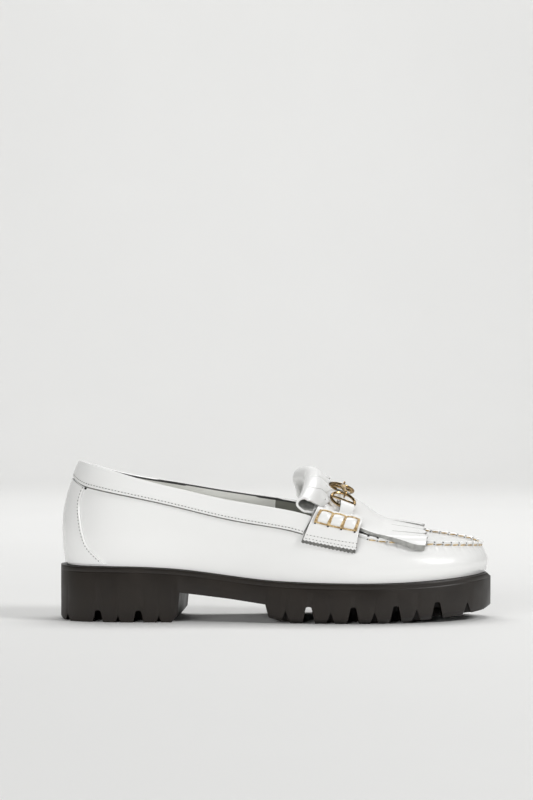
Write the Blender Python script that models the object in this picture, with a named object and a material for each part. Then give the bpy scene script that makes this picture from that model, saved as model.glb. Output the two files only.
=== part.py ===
"""A right-foot loafer with a lugged unit sole, a fringed kiltie over the instep and a metal bit.

Stations run along the shoe from the back of the sole to the toe, across from the lateral side
(-Y) to the medial side (+Y), and up from the floor, all in millimetres. The last step puts the
middle of the sole's outline at the origin and turns millimetres into metres.
"""

import math
from collections import namedtuple

import bmesh
import bpy
import numpy as np

MM = 0.001
GAP = 0.3
OVERLAY_GAP = 0.42

# Leather and sole
WALL = 2.0
FLANGE_HEEL, FLANGE_SIDE, FLANGE_TOE = 4.2, 3.1, 3.4
INSOLE_THICK = 3.0
SEAM_RISE, SEAM_LOW, SEAM_WIDTH = 2.6, 0.5, 2.2
SEAM_STARTS, SEAM_FULL = 160.0, 184.0
SEAM_CREST, SEAM_SLOPE = 0.75, 0.92
INNER_CORNER = 1.12 * WALL
THROAT = 153.0
CROWN_SKEW = 1.15
BAND_HEEL, BAND_SIDE, BAND_THICK = 10.4, 12.6, 1.2
COUNTER_THICK = 1.0

# The wall of the upper, from the feather line on the sole (foot) to the topline or, from the
# throat forward, to the moccasin seam (top). Widths are from the middle line to either side.
Section = namedtuple(
    "Section", "name foot_x foot_lat foot_med top_x top_lat top_med z_lat z_med bulge"
)
SECTIONS = (
    Section("heel back", 4.2, 0.0, 0.0, 12.6, 0.0, 0.0, 96.0, 96.0, 5.5),
    Section("heel corner", 11.0, 20.5, 20.0, 20.6, 16.5, 16.0, 94.0, 93.6, 4.9),
    Section("heel side", 32.0, 30.6, 29.8, 40.0, 25.5, 24.5, 89.0, 88.2, 4.0),
    Section("seat", 70.0, 31.2, 30.0, 72.0, 27.5, 26.5, 80.8, 81.0, 3.2),
    Section("waist", 108.0, 34.0, 29.5, 108.0, 30.5, 27.5, 72.0, 74.0, 3.2),
    Section("throat", 148.0, 42.0, 37.5, 150.0, 36.5, 32.5, 65.2, 68.8, 3.8),
    Section("saddle", 180.0, 45.5, 42.5, 181.0, 38.0, 35.5, 51.2, 56.5, 4.2),
    Section("ball", 206.0, 43.0, 43.0, 204.0, 36.0, 35.5, 47.8, 52.6, 4.4),
    Section("vamp", 228.0, 36.0, 38.5, 225.0, 29.5, 31.5, 46.3, 50.6, 4.4),
    Section("toe side", 244.0, 25.5, 31.0, 241.5, 20.0, 25.0, 45.4, 48.6, 4.0),
    Section("toe corner", 254.5, 11.5, 20.5, 252.5, 9.0, 16.5, 44.8, 46.6, 3.4),
    Section("toe tip", 259.3, -5.0, 5.0, 257.0, -4.5, 4.5, 44.6, 44.6, 2.8),
)

# How far the apron's middle stands above the line from seam to seam
Crown = namedtuple("Crown", "x rise")
CROWN = (
    Crown(136.0, 12.5),
    Crown(150.0, 12.5),
    Crown(165.0, 14.8),
    Crown(172.0, 15.0),
    Crown(181.0, 13.0),
    Crown(194.0, 6.6),
    Crown(205.0, 4.6),
    Crown(223.0, 2.6),
    Crown(240.0, 1.2),
    Crown(257.0, 0.0),
)

# The sole's top edge, and its tread: the height of the tread's underside, and how far the
# lower edge of the side stands above and outside it
TopEdge = namedtuple("TopEdge", "x z")
TOP_EDGE = (
    TopEdge(0.0, 33.2),
    TopEdge(24.0, 33.2),
    TopEdge(52.0, 32.8),
    TopEdge(76.0, 31.2),
    TopEdge(104.0, 27.7),
    TopEdge(126.0, 25.3),
    TopEdge(150.0, 24.2),
    TopEdge(180.0, 23.8),
    TopEdge(206.0, 24.2),
    TopEdge(228.0, 25.4),
    TopEdge(262.0, 28.2),
)
Tread = namedtuple("Tread", "x z edge_rise edge_inset")
TREAD = (
    Tread(-1.0, 3.0, 1.0, 1.0),
    Tread(2.5, 0.4, 0.6, 0.8),
    Tread(6.0, 0.0, 0.6, 0.8),
    Tread(68.5, 0.0, 0.6, 0.8),
    Tread(72.2, 5.0, 1.0, 1.2),
    Tread(73.4, 17.8, 0.8, 0.8),
    Tread(104.0, 14.2, 0.8, 0.8),
    Tread(124.6, 11.2, 0.8, 0.8),
    Tread(126.6, 3.4, 2.6, 3.6),
    Tread(133.5, 1.2, 2.8, 4.4),
    Tread(140.0, 0.0, 3.0, 5.0),
    Tread(188.0, 0.0, 3.0, 5.0),
    Tread(206.0, 0.8, 3.0, 5.0),
    Tread(232.0, 2.9, 3.0, 4.6),
    Tread(257.0, 6.0, 2.4, 3.6),
    Tread(263.0, 8.6, 1.4, 2.4),
)
BREAST, BREAST_SKEW, BREAST_BLEND = 73.4, 4.0, 26.0
TOP_ROUND = 1.0
TOE_BEVEL, TOE_BEVEL_LONG = 2.6, 3.4
RIB_DROP, RIB_WIDTH, RIB_DEPTH = 3.2, 0.9, 0.4
SIDE_TAPER = 0.6
STATION_STEP = 8.0
END_STEPS = (0.08, 0.6, 1.6, 3.2, 5.6)
END_SHARE = 0.3

# Notches between the lugs: height, width at the tread and at the top, reach in from the edge
Notch = namedtuple("Notch", "height wide narrow reach")
HEEL_NOTCH = Notch(7.2, 6.6, 3.4, 17.0)
HEEL_NICK = Notch(3.8, 3.2, 0.5, 8.0)
FORE_NOTCH = Notch(10.2, 7.6, 3.4, 21.0)
FORE_NICK = Notch(6.8, 5.4, 0.5, 10.0)
CENTRE_NOTCH = Notch(5.0, 5.0, 3.6, 0.0)
HEEL_NOTCHES, HEEL_NICKS = (24.4, 48.8), (5.6, 36.6, 61.0)
FORE_NOTCHES, FORE_NICKS = (176.8, 202.2, 227.2), (136.6, 163.4, 189.4, 214.6, 246.0)
THROUGH_NOTCH = 150.4
CENTRE_NOTCHES = (36.6, 163.4, 189.4, 214.6)
CUT_BELOW, CUT_OUTSIDE = 3.0, 6.0
CHANNEL_WIDTH, CHANNEL_DEPTH = 4.0, 5.0
Channel = namedtuple("Channel", "start end inset")
CHANNELS = (Channel(14.0, 60.0, 15.5), Channel(143.0, 236.0, 19.5))

# The counter's front edge, up the wall
CounterEdge = namedtuple("CounterEdge", "w x")
COUNTER_EDGE = (
    CounterEdge(0.02, 26.8),
    CounterEdge(0.16, 18.3),
    CounterEdge(0.35, 13.7),
    CounterEdge(0.52, 12.0),
    CounterEdge(0.66, 12.3),
    CounterEdge(0.78, 15.7),
)

# The strap's tab on each side, by its four corners
TAB_THICK = 2.4
TAB_FOOT_X, TAB_FOOT_Z = (145.7, 177.9), (48.6, 42.6)
TAB_TOP_X, TAB_TOP_T = (154.0, 181.0), (0.06, 0.145)
TAB_SEAM_SHARE = (0.86, 0.46)
ROLL_ALONG, ROLL_UP = (0.13, 0.95), (0.56, 0.88)
ROLL_CELLS, ROLL_HIGH, ROLL_EDGE, ROLL_VALLEY = 3, 2.6, 0.9, 0.35

# The kiltie, from its front tips back to the roll at the throat and forward again
KILTIE_THICK = 1.5
STRIPS, SLIT = 6, 0.013
SIDE_BENDS = (0.022, 0.055)
TIP_LONG = 2.6
DRAPE = 0.28
Fold = namedtuple("Fold", "x lift edge")
BODY = (
    Fold(219.0, 4.0, -0.07),
    Fold(214.0, 4.0, -0.06),
    Fold(207.0, 3.9, -0.03),
    Fold(200.0, 3.8, -0.005),
    Fold(193.0, 3.7, 0.025),
    Fold(186.0, 3.7, 0.05),
    Fold(179.0, 3.3, 0.06),
    Fold(172.0, 2.5, 0.07),
    Fold(165.0, 1.8, 0.08),
    Fold(158.0, 1.4, 0.07),
)
CURL_X, CURL_RADIUS, CURL_STEPS, CURL_EDGE = 151.6, 4.3, 7, 0.01
CURL_SWEEP = 5.0
FLAP = (
    Fold(155.2, 9.2, 0.07),
    Fold(157.8, 7.6, 0.10),
    Fold(160.4, 6.0, 0.11),
)
FLAP_DROP = 0.42
FRINGE_ROOT = 200.0

# The bit: two rings with a bar across each, and a mouthpiece between them
RING_X = 170.9
RING_T = {"lateral": 0.28, "medial": 0.70}
RING_LONG, RING_WIDE, RING_TUBE = 7.1, 6.8, 1.2
RING_LIFT, RING_TILT = 3.2, 0.10
EYE_RADIUS, EYE_TUBE = 2.25, 0.7
BAR_TUBE, BAR_BARREL, BAR_RISE = 1.0, 1.8, 0.9
KEEPER_WIDE, KEEPER_THICK, KEEPER_SLANT, KEEPER_END = 7.4, 1.2, 0.27, -1.6
Turn = namedtuple("Turn", "arc lift")
KEEPER_RUN = (Turn(-13.0, 1.0), Turn(-11.2, 2.0), Turn(-9.2, 4.6), Turn(-7.0, 5.4), Turn(-3.0, 5.3))

# Colours as seen in daylight, with roughness and metallic value
Finish = namedtuple("Finish", "colour roughness metallic")
FINISHES = {
    "white_leather": Finish((0.83, 0.83, 0.81), 0.28, 0.0),
    "brown_rubber": Finish((0.040, 0.034, 0.029), 0.62, 0.0),
    "gold_metal": Finish((0.80, 0.56, 0.24), 0.20, 1.0),
    "grey_lining": Finish((0.62, 0.62, 0.60), 0.70, 0.0),
}


def spline(knots, values, period=0.0):
    """A cubic spline through the values at the knots, closed where a period is given."""
    t = np.asarray(knots, float)
    v = np.asarray(values, float).reshape(len(t), -1)
    if period:
        t = np.append(t, t[0] + period)
        v = np.vstack([v, v[:1]])
    step = np.diff(t)
    slope = np.diff(v, axis=0) / step[:, None]
    n = len(t)
    rows = np.zeros((n, n))
    sides = np.zeros(v.shape)
    for i in range(1, n - 1):
        rows[i, i - 1 : i + 2] = step[i - 1], 2 * (step[i - 1] + step[i]), step[i]
        sides[i] = 6 * (slope[i] - slope[i - 1])
    rows[0, 0] = 1
    rows[-1, -1] = 1
    if period:
        rows[0, -1] = -1
        rows[-1, [0, 1]] = 2 * step[0], step[0]
        rows[-1, [-2, -1]] = step[-1], 2 * step[-1]
        sides[-1] = 6 * (slope[0] - slope[-1])
    bend = np.linalg.solve(rows, sides)

    def at(x):
        x = np.asarray(x, float)
        x = t[0] + (x - t[0]) % period if period else np.clip(x, t[0], t[-1])
        i = np.clip(np.searchsorted(t, x, side="right") - 1, 0, n - 2)
        p = ((t[i + 1] - x) / step[i])[..., None]
        q = 1 - p
        bow = (p**3 - p) * bend[i] + (q**3 - q) * bend[i + 1]
        found = p * v[i] + q * v[i + 1] + bow * step[i][..., None] ** 2 / 6
        return found if v.shape[1] > 1 else found[..., 0]

    return at


def blend(a, b, share):
    return a + (b - a) * share


def ramp(x, low, high):
    """0 below low, 1 above high, smooth between."""
    s = np.clip((np.asarray(x, float) - low) / (high - low), 0, 1)
    return s * s * (3 - 2 * s)


def unit(v):
    return v / np.linalg.norm(v, axis=-1, keepdims=True)


def wall_loop():
    """The wall's sections in order round the shoe: heel, lateral side, toe, medial side."""
    lateral = [(s.foot_x, -s.foot_lat, s.top_x, -s.top_lat, s.z_lat, s.bulge) for s in SECTIONS]
    medial = [(s.foot_x, s.foot_med, s.top_x, s.top_med, s.z_med, s.bulge) for s in SECTIONS]
    rows = np.array(lateral + medial[-2:0:-1])
    around = np.vstack([rows, rows[:1]])[:, :2]
    reach = np.concatenate([[0], np.cumsum(np.linalg.norm(np.diff(around, axis=0), axis=1))])
    return spline(reach[:-1] / reach[-1], rows, 1.0), reach[len(SECTIONS) - 1] / reach[-1]


LOOP, TOE_TURN = wall_loop()
sole_top = spline([e.x for e in TOP_EDGE], [e.z for e in TOP_EDGE])
crown_rise = spline([c.x for c in CROWN], [c.rise for c in CROWN])
TURNS = {"lateral": np.linspace(0, TOE_TURN, 800), "medial": np.linspace(1, TOE_TURN, 800)}


def turn_at(x, side):
    """The turn round the loop where the topline or the moccasin seam reaches x."""
    return np.interp(x, LOOP(TURNS[side])[:, 2], TURNS[side])


def outward(turn):
    """The level direction out of the shoe, square to the feather line."""
    along = LOOP(np.asarray(turn) + 1e-4)[..., :2] - LOOP(np.asarray(turn) - 1e-4)[..., :2]
    square = np.stack([along[..., 1], -along[..., 0], np.zeros(along.shape[:-1])], axis=-1)
    return unit(square)


def wall(turn, w, lift=0.0):
    """The wall's outer face at a turn round the shoe and a share w of its height, or lifted off it."""
    turn, w, lift = np.broadcast_arrays(*(np.asarray(a, float) for a in (turn, w, lift)))

    def face(turn, w):
        row = LOOP(turn)
        foot = np.stack([row[..., 0], row[..., 1], sole_top(row[..., 0]) + GAP], axis=-1)
        swell = row[..., 5] * np.sin(np.pi * np.clip(w, 0, 1))
        return blend(foot, row[..., 2:5], w[..., None]) + outward(turn) * swell[..., None]

    step = 1e-3
    along = face(turn + step, w) - face(turn - step, w)
    up = face(turn, w + step) - face(turn, w - step)
    return face(turn, w) + unit(np.cross(along, up)) * lift[..., None]


def crown(x, t, lift=0.0):
    """The apron over the instep: t runs from the lateral seam (0) to the medial seam (1)."""
    x, t, lift = np.broadcast_arrays(*(np.asarray(a, float) for a in (x, t, lift)))

    def face(x, t):
        sides = [LOOP(turn_at(x, side))[..., 2:5] for side in ("lateral", "medial")]
        found = blend(sides[0], sides[1], t[..., None])
        hump = np.sin(np.pi * np.clip(t, 0, 1) ** CROWN_SKEW)
        found[..., 2] += crown_rise(x) * hump
        return found

    step = 1e-2
    along = face(x + 1, t) - face(x - 1, t)
    across = face(x, np.clip(t + step, 0, 1)) - face(x, np.clip(t - step, 0, 1))
    return face(x, t) + unit(np.cross(along, across)) * lift[..., None]


def turn_on_wall(x, w, side):
    """The turn round the loop where the wall at a share w of its height reaches x."""
    return np.interp(x, wall(TURNS[side], w)[:, 0], TURNS[side])


def flange(x):
    """How far the sole stands out past the feather line."""
    back = 1 - ramp(x, SECTIONS[0].foot_x, SECTIONS[2].foot_x)
    front = ramp(x, SECTIONS[-4].foot_x, SECTIONS[-1].foot_x)
    return FLANGE_SIDE + (FLANGE_HEEL - FLANGE_SIDE) * back + (FLANGE_TOE - FLANGE_SIDE) * front


def sole_outline():
    """The sole's outer edge, as arrays of x and y for each side."""
    sides = {}
    for side, turns in TURNS.items():
        foot = LOOP(turns)[:, :2]
        edge = foot + flange(foot[:, :1]) * outward(turns)[:, :2]
        sides[side] = edge[np.argsort(edge[:, 0])]
    return sides


OUTLINE = sole_outline()
SOLE_START = max(edge[0, 0] for edge in OUTLINE.values())
SOLE_END = min(edge[-1, 0] for edge in OUTLINE.values())
ORIGIN = np.array(
    [
        (SOLE_START + SOLE_END) / 2,
        (OUTLINE["lateral"][:, 1].min() + OUTLINE["medial"][:, 1].max()) / 2,
        0.0,
    ]
)


def edge_y(x, side):
    return np.interp(x, OUTLINE[side][:, 0], OUTLINE[side][:, 1])


def tread_at(x, column):
    return np.interp(x, [row.x for row in TREAD], [getattr(row, column) for row in TREAD])


def material(name, finish):
    made = bpy.data.materials.new(name)
    made.use_nodes = True
    shader = made.node_tree.nodes["Principled BSDF"]
    shader.inputs["Base Color"].default_value = (*finish.colour, 1)
    shader.inputs["Roughness"].default_value = finish.roughness
    shader.inputs["Metallic"].default_value = finish.metallic
    made.diffuse_color = (*finish.colour, 1)
    return made


def add_piece(name, points, faces, finish=None):
    """A mesh object from points in millimetres. With no finish it is a cutter, left out of renders."""
    mesh = bpy.data.meshes.new(name)
    mesh.from_pydata(((np.asarray(points) - ORIGIN) * MM).tolist(), [], faces)
    shape = bmesh.new()
    shape.from_mesh(mesh)
    bmesh.ops.recalc_face_normals(shape, faces=shape.faces)
    shape.to_mesh(mesh)
    shape.free()
    piece = bpy.data.objects.new(name, mesh)
    bpy.context.scene.collection.objects.link(piece)
    if finish:
        mesh.materials.append(material(name, FINISHES[finish]))
        mesh.shade_smooth()
        mesh.set_sharp_from_angle(angle=math.radians(35))
    else:
        piece.hide_render = True
        piece.display_type = "WIRE"
    return piece


def cut(piece, tool, operation="DIFFERENCE"):
    modifier = piece.modifiers.new(f"{operation.lower()} {tool.name}", "BOOLEAN")
    modifier.operation = operation
    modifier.solver = "EXACT"
    modifier.object = tool


def thicken(outer, inner, quads):
    """A closed solid from two matching sheets: their faces, and a rim along each open edge."""
    count = len(outer)
    faces = []
    open_edges = {}
    for quad in quads:
        faces.append(tuple(quad))
        faces.append(tuple(i + count for i in reversed(quad)))
        for i, j in zip(quad, (*quad[1:], quad[0])):
            if open_edges.pop((j, i), None) is None:
                open_edges[(i, j)] = True
    for i, j in open_edges:
        faces.append((j, i, i + count, j + count))
    return np.vstack([outer, inner]), faces


def grid_quads(rows, columns, keep=None):
    cells = [(i, j) for i in range(rows - 1) for j in range(columns - 1)]
    return [
        (i * columns + j, i * columns + j + 1, (i + 1) * columns + j + 1, (i + 1) * columns + j)
        for i, j in cells
        if keep is None or keep[i][j]
    ]


def add_sheet(name, outer, inner, finish, keep=None):
    points, faces = thicken(
        outer.reshape(-1, 3), inner.reshape(-1, 3), grid_quads(*outer.shape[:2], keep)
    )
    used = sorted({i for face in faces for i in face})
    places = {old: new for new, old in enumerate(used)}
    return add_piece(name, points[used], [[places[i] for i in face] for face in faces], finish)


def add_loft(name, sections, finish=None):
    """A solid through closed sections of equal count, with flat ends."""
    count = len(sections[0])
    faces = [list(range(count)), list(range((len(sections) - 1) * count, len(sections) * count))]
    for k in range(len(sections) - 1):
        for i in range(count):
            j = (i + 1) % count
            faces.append([k * count + i, k * count + j, (k + 1) * count + j, (k + 1) * count + i])
    return add_piece(name, np.vstack(sections), faces, finish)


def tube(path, radii, sides, closed=False):
    """Points and faces of a round tube along a path, with flat ends unless it closes on itself."""
    path = np.asarray(path, float)
    ahead = np.roll(path, -1, axis=0) - np.roll(path, 1, axis=0)
    if not closed:
        ahead[0] = path[1] - path[0]
        ahead[-1] = path[-1] - path[-2]
    ahead = unit(ahead)
    middle = path.mean(axis=0)
    flat = unit(np.linalg.svd(path - middle)[2][2])
    side = unit(np.cross(ahead, flat))
    turns = np.linspace(0, 2 * np.pi, sides, endpoint=False)
    rings = [
        p + r * (np.outer(np.cos(turns), s) + np.outer(np.sin(turns), np.cross(s, a)))
        for p, r, s, a in zip(path, np.broadcast_to(radii, len(path)), side, ahead)
    ]
    faces = [] if closed else [list(range(sides)), [len(path) * sides - 1 - i for i in range(sides)]]
    for k in range(len(path) if closed else len(path) - 1):
        here, there = k * sides, (k + 1) % len(path) * sides
        for i in range(sides):
            j = (i + 1) % sides
            faces.append([here + i, here + j, there + j, there + i])
    return np.vstack(rings), faces


def outsole_section(x):
    """One slice of the sole: down the lateral side, across the tread and up the medial side."""
    skew = BREAST_SKEW * (1 - ramp(abs(x - BREAST), 0, BREAST_BLEND))
    half = (edge_y(x, "medial") - edge_y(x, "lateral")) / 2
    found = []
    for side, inward in (("lateral", 1), ("medial", -1)):
        at_x = x + (skew if side == "medial" else 0)
        y = edge_y(at_x, side)
        top = sole_top(at_x) - TOE_BEVEL * ramp(x, SOLE_END - TOE_BEVEL_LONG, SOLE_END)
        low = tread_at(x, "z")
        inset = min(tread_at(x, "edge_inset"), END_SHARE * half)
        rise = tread_at(x, "edge_rise")
        taper = min(SIDE_TAPER, END_SHARE * half)
        rib = min(RIB_DEPTH, END_SHARE * half)
        profile = (
            (min(TOP_ROUND, END_SHARE * half), top),
            (0.0, top - TOP_ROUND),
            (0.0, top - RIB_DROP + RIB_WIDTH / 2),
            (rib, top - RIB_DROP),
            (0.0, top - RIB_DROP - RIB_WIDTH / 2),
            (taper, low + rise),
            (inset, low),
        )
        points = [(at_x, y + inward * shift, z) for shift, z in profile]
        found += points if side == "lateral" else points[::-1]
    return np.array(found)


def notch_section(notch, x, low):
    """The outline of a notch across the sole, from below the tread up to its rounded top."""
    spread = (notch.wide - notch.narrow) / 2 / notch.height
    foot = notch.wide / 2 + spread * CUT_BELOW
    top = low + notch.height
    half = notch.narrow / 2
    return [
        (x - foot, low - CUT_BELOW),
        (x + foot, low - CUT_BELOW),
        (x + half, top - 0.4 * half),
        (x + 0.5 * half, top),
        (x - 0.5 * half, top),
        (x - half, top - 0.4 * half),
    ]


def add_notches(name, cuts):
    """One cutter of separate bars, each a notch outline run from one y to another."""
    points, faces = [], []
    for notch, x, y_from, y_to in cuts:
        start = len(points)
        outline = notch_section(notch, x, tread_at(x, "z"))
        count = len(outline)
        for y in (y_from, y_to):
            points += [(px, y, pz) for px, pz in outline]
        faces += [[start + i for i in range(count)], [start + count + i for i in range(count)]]
        for i in range(count):
            j = (i + 1) % count
            faces.append([start + i, start + j, start + count + j, start + count + i])
    return add_piece(name, points, faces)


def make_outsole():
    ends = np.array(END_STEPS)
    stations = np.concatenate(
        [
            SOLE_START + ends,
            np.arange(SOLE_START + 10, SOLE_END - 8, STATION_STEP),
            SOLE_END - ends,
            [row.x for row in TREAD if SOLE_START + 1 < row.x < SOLE_END - 1],
        ]
    )
    stations = np.unique(np.round(stations, 2))
    sole = add_loft("outsole", [outsole_section(x) for x in stations], "brown_rubber")
    cuts = []
    rows = ((HEEL_NOTCH, HEEL_NOTCHES), (HEEL_NICK, HEEL_NICKS))
    rows += ((FORE_NOTCH, FORE_NOTCHES), (FORE_NICK, FORE_NICKS))
    for notch, places in rows:
        for x in places:
            lateral, medial = edge_y(x, "lateral"), edge_y(x, "medial")
            cuts.append((notch, x, lateral - CUT_OUTSIDE, lateral + notch.reach))
            cuts.append((notch, x, medial - notch.reach, medial + CUT_OUTSIDE))
    through = (
        edge_y(THROUGH_NOTCH, "lateral") - CUT_OUTSIDE,
        edge_y(THROUGH_NOTCH, "medial") + CUT_OUTSIDE,
    )
    cuts.append((FORE_NOTCH, THROUGH_NOTCH, *through))
    cut(sole, add_notches("lug notches", cuts))
    cuts = []
    for x in CENTRE_NOTCHES:
        inset = CHANNELS[x > BREAST].inset + CHANNEL_WIDTH / 2
        cuts.append((CENTRE_NOTCH, x, edge_y(x, "lateral") + inset, edge_y(x, "medial") - inset))
    cut(sole, add_notches("centre notches", cuts))
    for channel in CHANNELS:
        for side, inward in (("lateral", 1), ("medial", -1)):
            sections = []
            for x in np.linspace(channel.start, channel.end, 7):
                y = edge_y(x, side) + inward * channel.inset
                low = tread_at(x, "z")
                across = (0, CHANNEL_WIDTH, CHANNEL_WIDTH, 0)
                up = (-CUT_BELOW, -CUT_BELOW, CHANNEL_DEPTH, CHANNEL_DEPTH)
                sections.append(np.array([(x, y + inward * w, low + h) for w, h in zip(across, up)]))
            cut(sole, add_loft(f"channel {side} {channel.start:.0f}", sections))


def make_insole():
    inset = WALL + 2 * GAP
    sides = {}
    for side, turns in TURNS.items():
        edge = LOOP(turns)[:, :2] - inset * outward(turns)[:, :2]
        sides[side] = edge[np.argsort(edge[:, 0])]
    start, end = sides["lateral"][0, 0], sides["lateral"][-1, 0]
    sections = []
    for x in start + (end - start) * (1 - np.cos(np.linspace(0.06, np.pi - 0.06, 26))) / 2:
        low = sole_top(x) + GAP
        ys = [np.interp(x, sides[s][:, 0], sides[s][:, 1]) for s in ("lateral", "medial")]
        corners = ((ys[0], 0), (ys[1], 0), (ys[1], INSOLE_THICK), (ys[0], INSOLE_THICK))
        sections.append(np.array([(x, y, low + h) for y, h in corners]))
    add_loft("insole", sections, "grey_lining")


def seam_rise(x):
    return SEAM_LOW + (SEAM_RISE - SEAM_LOW) * ramp(x, SEAM_STARTS, SEAM_FULL)


def seam_normal(x, side):
    """The direction that the moccasin seam stands up in: midway between wall and apron."""
    turn = turn_at(x, side)
    t = 0.0 if side == "lateral" else 1.0
    out = wall(turn, 1.0, 1.0) - wall(turn, 1.0)
    up = crown(x, t, 1.0) - crown(x, t)
    return unit(out + up)


def upper_section(x, heights, across):
    """Outer and inner points of one slice over the instep, from feather line to feather line."""
    width = np.linalg.norm(crown(x, 1.0) - crown(x, 0.0))
    share = min(SEAM_WIDTH / width, 0.16)
    ts = blend(share, 1 - share, across)
    halves = []
    for side, edge_t in (("lateral", share), ("medial", 1 - share)):
        turn = turn_at(x, side)
        normal = seam_normal(x, side)
        outer = wall(turn, heights)
        inner = wall(turn, heights, -WALL)
        inner[-1] = outer[-1] - normal * INNER_CORNER
        inner[0, 2] = sole_top(inner[0, 0]) + GAP
        rise = normal * seam_rise(x)
        near, far = crown(x, edge_t), crown(x, edge_t, -WALL)
        ridge = np.array([outer[-1] + rise, blend(outer[-1], near, SEAM_CREST) + rise * SEAM_SLOPE])
        under = np.array([blend(inner[-1], far, 1 / 3), blend(inner[-1], far, 2 / 3)])
        halves.append((np.vstack([outer, ridge]), np.vstack([inner, under])))
    top = crown(x, ts), crown(x, ts, -WALL)
    return [np.vstack([halves[0][k], top[k], halves[1][k][::-1]]) for k in (0, 1)]


def make_upper():
    heights = np.array([0.0, 0.18, 0.36, 0.54, 0.72, 0.88, 1.0])
    across = np.linspace(0, 1, 9)
    rows = len(heights)
    spread = (1 - np.cos(np.linspace(0.35, 1, 20) * np.pi)) / 2
    spread = (spread - spread[0]) / (spread[-1] - spread[0])
    toe_x = SECTIONS[-1].top_x
    stations = blend(THROAT, toe_x, spread)[:-1]
    outer, inner, quads = [], [], []
    for x in stations:
        for store, points in zip((outer, inner), upper_section(x, heights, across)):
            store.append(points)
    per = len(outer[0])
    quads += grid_quads(len(stations), per)
    count = len(stations) * per
    last = (len(stations) - 1) * per
    toe = wall(TOE_TURN, heights), wall(TOE_TURN, heights, -WALL)
    normal = seam_normal(toe_x - 0.5, "lateral") + seam_normal(toe_x - 0.5, "medial")
    normal = unit(normal)
    toe[1][0, 2] = sole_top(toe[1][0, 0]) + GAP
    toe[1][-1] = toe[0][-1] - normal * INNER_CORNER
    inward = np.array([-SEAM_WIDTH, 0.0, 0.0])
    rise = normal * SEAM_RISE
    crest = np.array([toe[0][-1] + rise, toe[0][-1] + rise * SEAM_SLOPE + inward * SEAM_CREST])
    under = np.array([toe[1][-1] + inward / 3, toe[1][-1] + inward * 2 / 3])
    outer.append(np.vstack([toe[0], crest]))
    inner.append(np.vstack([toe[1], under]))
    arm = rows + 2
    for i in range(arm - 1):
        here = last + i
        quads.append((here, here + 1, count + i + 1, count + i))
        there = last + per - 1 - i
        quads.append((there - 1, there, count + i, count + i + 1))
    for i in range(arm - 1, per - arm):
        quads.append((last + i, last + i + 1, count + arm - 1))
    start = turn_at(THROAT, "lateral")
    end = turn_at(THROAT, "medial")
    turns = np.linspace(start, end - 1, 36)[1:-1]
    back = count + arm
    columns = [range(rows)]
    for k, turn in enumerate(turns):
        face, behind = wall(turn, heights), wall(turn, heights, -WALL)
        behind[0, 2] = sole_top(behind[0, 0]) + GAP
        outer.append(face)
        inner.append(behind)
        columns.append(range(back + k * rows, back + (k + 1) * rows))
    columns.append(range(per - 1, per - 1 - rows, -1))
    for here, there in zip(columns[1:], columns[:-1]):
        for i in range(rows - 1):
            quads.append((here[i], here[i + 1], there[i + 1], there[i]))
    points, faces = thicken(np.vstack(outer), np.vstack(inner), quads)
    add_piece("upper", points, faces, "white_leather")


def band_foot(turn):
    """How far up the wall the collar band starts."""
    row = LOOP(turn)
    depth = blend(BAND_HEEL, BAND_SIDE, ramp(row[..., 2], SECTIONS[0].top_x, SECTIONS[2].top_x))
    return 1 - depth / (row[..., 4] - sole_top(row[..., 0]) - GAP)


def make_collar_band():
    columns, rows = 36, 5
    outer = np.zeros((rows, columns, 3))
    inner = np.zeros((rows, columns, 3))
    for i, share in enumerate(np.linspace(0, 1, rows)):
        ends = []
        for side in ("lateral", "medial"):
            tab_edge = tab_face(side, 0.0, np.linspace(0, 0.8, 30))
            turn = turn_at(tab_edge[0, 0], side)
            w = blend(band_foot(turn), 1.0, share)
            x = np.interp(wall(turn, w)[2], tab_edge[:, 2], tab_edge[:, 0])
            ends.append(turn_on_wall(x - 3.5 * GAP, w, side))
        turns = np.linspace(ends[0], ends[1] - 1, columns)
        w = blend(band_foot(turns), 1.0, share)
        outer[i] = wall(turns, w, OVERLAY_GAP + BAND_THICK)
        inner[i] = wall(turns, w, OVERLAY_GAP)
    add_sheet("collar_band", outer, inner, "white_leather")


def make_heel_counter():
    columns, rows = 15, 8
    edge = spline([e.w for e in COUNTER_EDGE], [e.x for e in COUNTER_EDGE])
    outer = np.zeros((rows, columns, 3))
    inner = np.zeros((rows, columns, 3))
    heights = np.linspace(COUNTER_EDGE[0].w, COUNTER_EDGE[-1].w, rows)
    for i, w in enumerate(heights):
        ends = []
        for side in TURNS:
            ends.append(turn_on_wall(edge(w), w, side))
        turns = np.linspace(ends[0], ends[1] - 1, columns)
        share = (w - heights[0]) / (heights[-1] - heights[0])
        top = band_foot(turns) - GAP / 30
        up = blend(heights[0], top, share)
        outer[i] = wall(turns, up, OVERLAY_GAP + COUNTER_THICK)
        inner[i] = wall(turns, up, OVERLAY_GAP)
    add_sheet("heel_counter", outer, inner, "white_leather")


def kiltie_top(x):
    lifts = BODY[::-1]
    return np.interp(x, [f.x for f in lifts], [f.lift for f in lifts]) + KILTIE_THICK / 2


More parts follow.
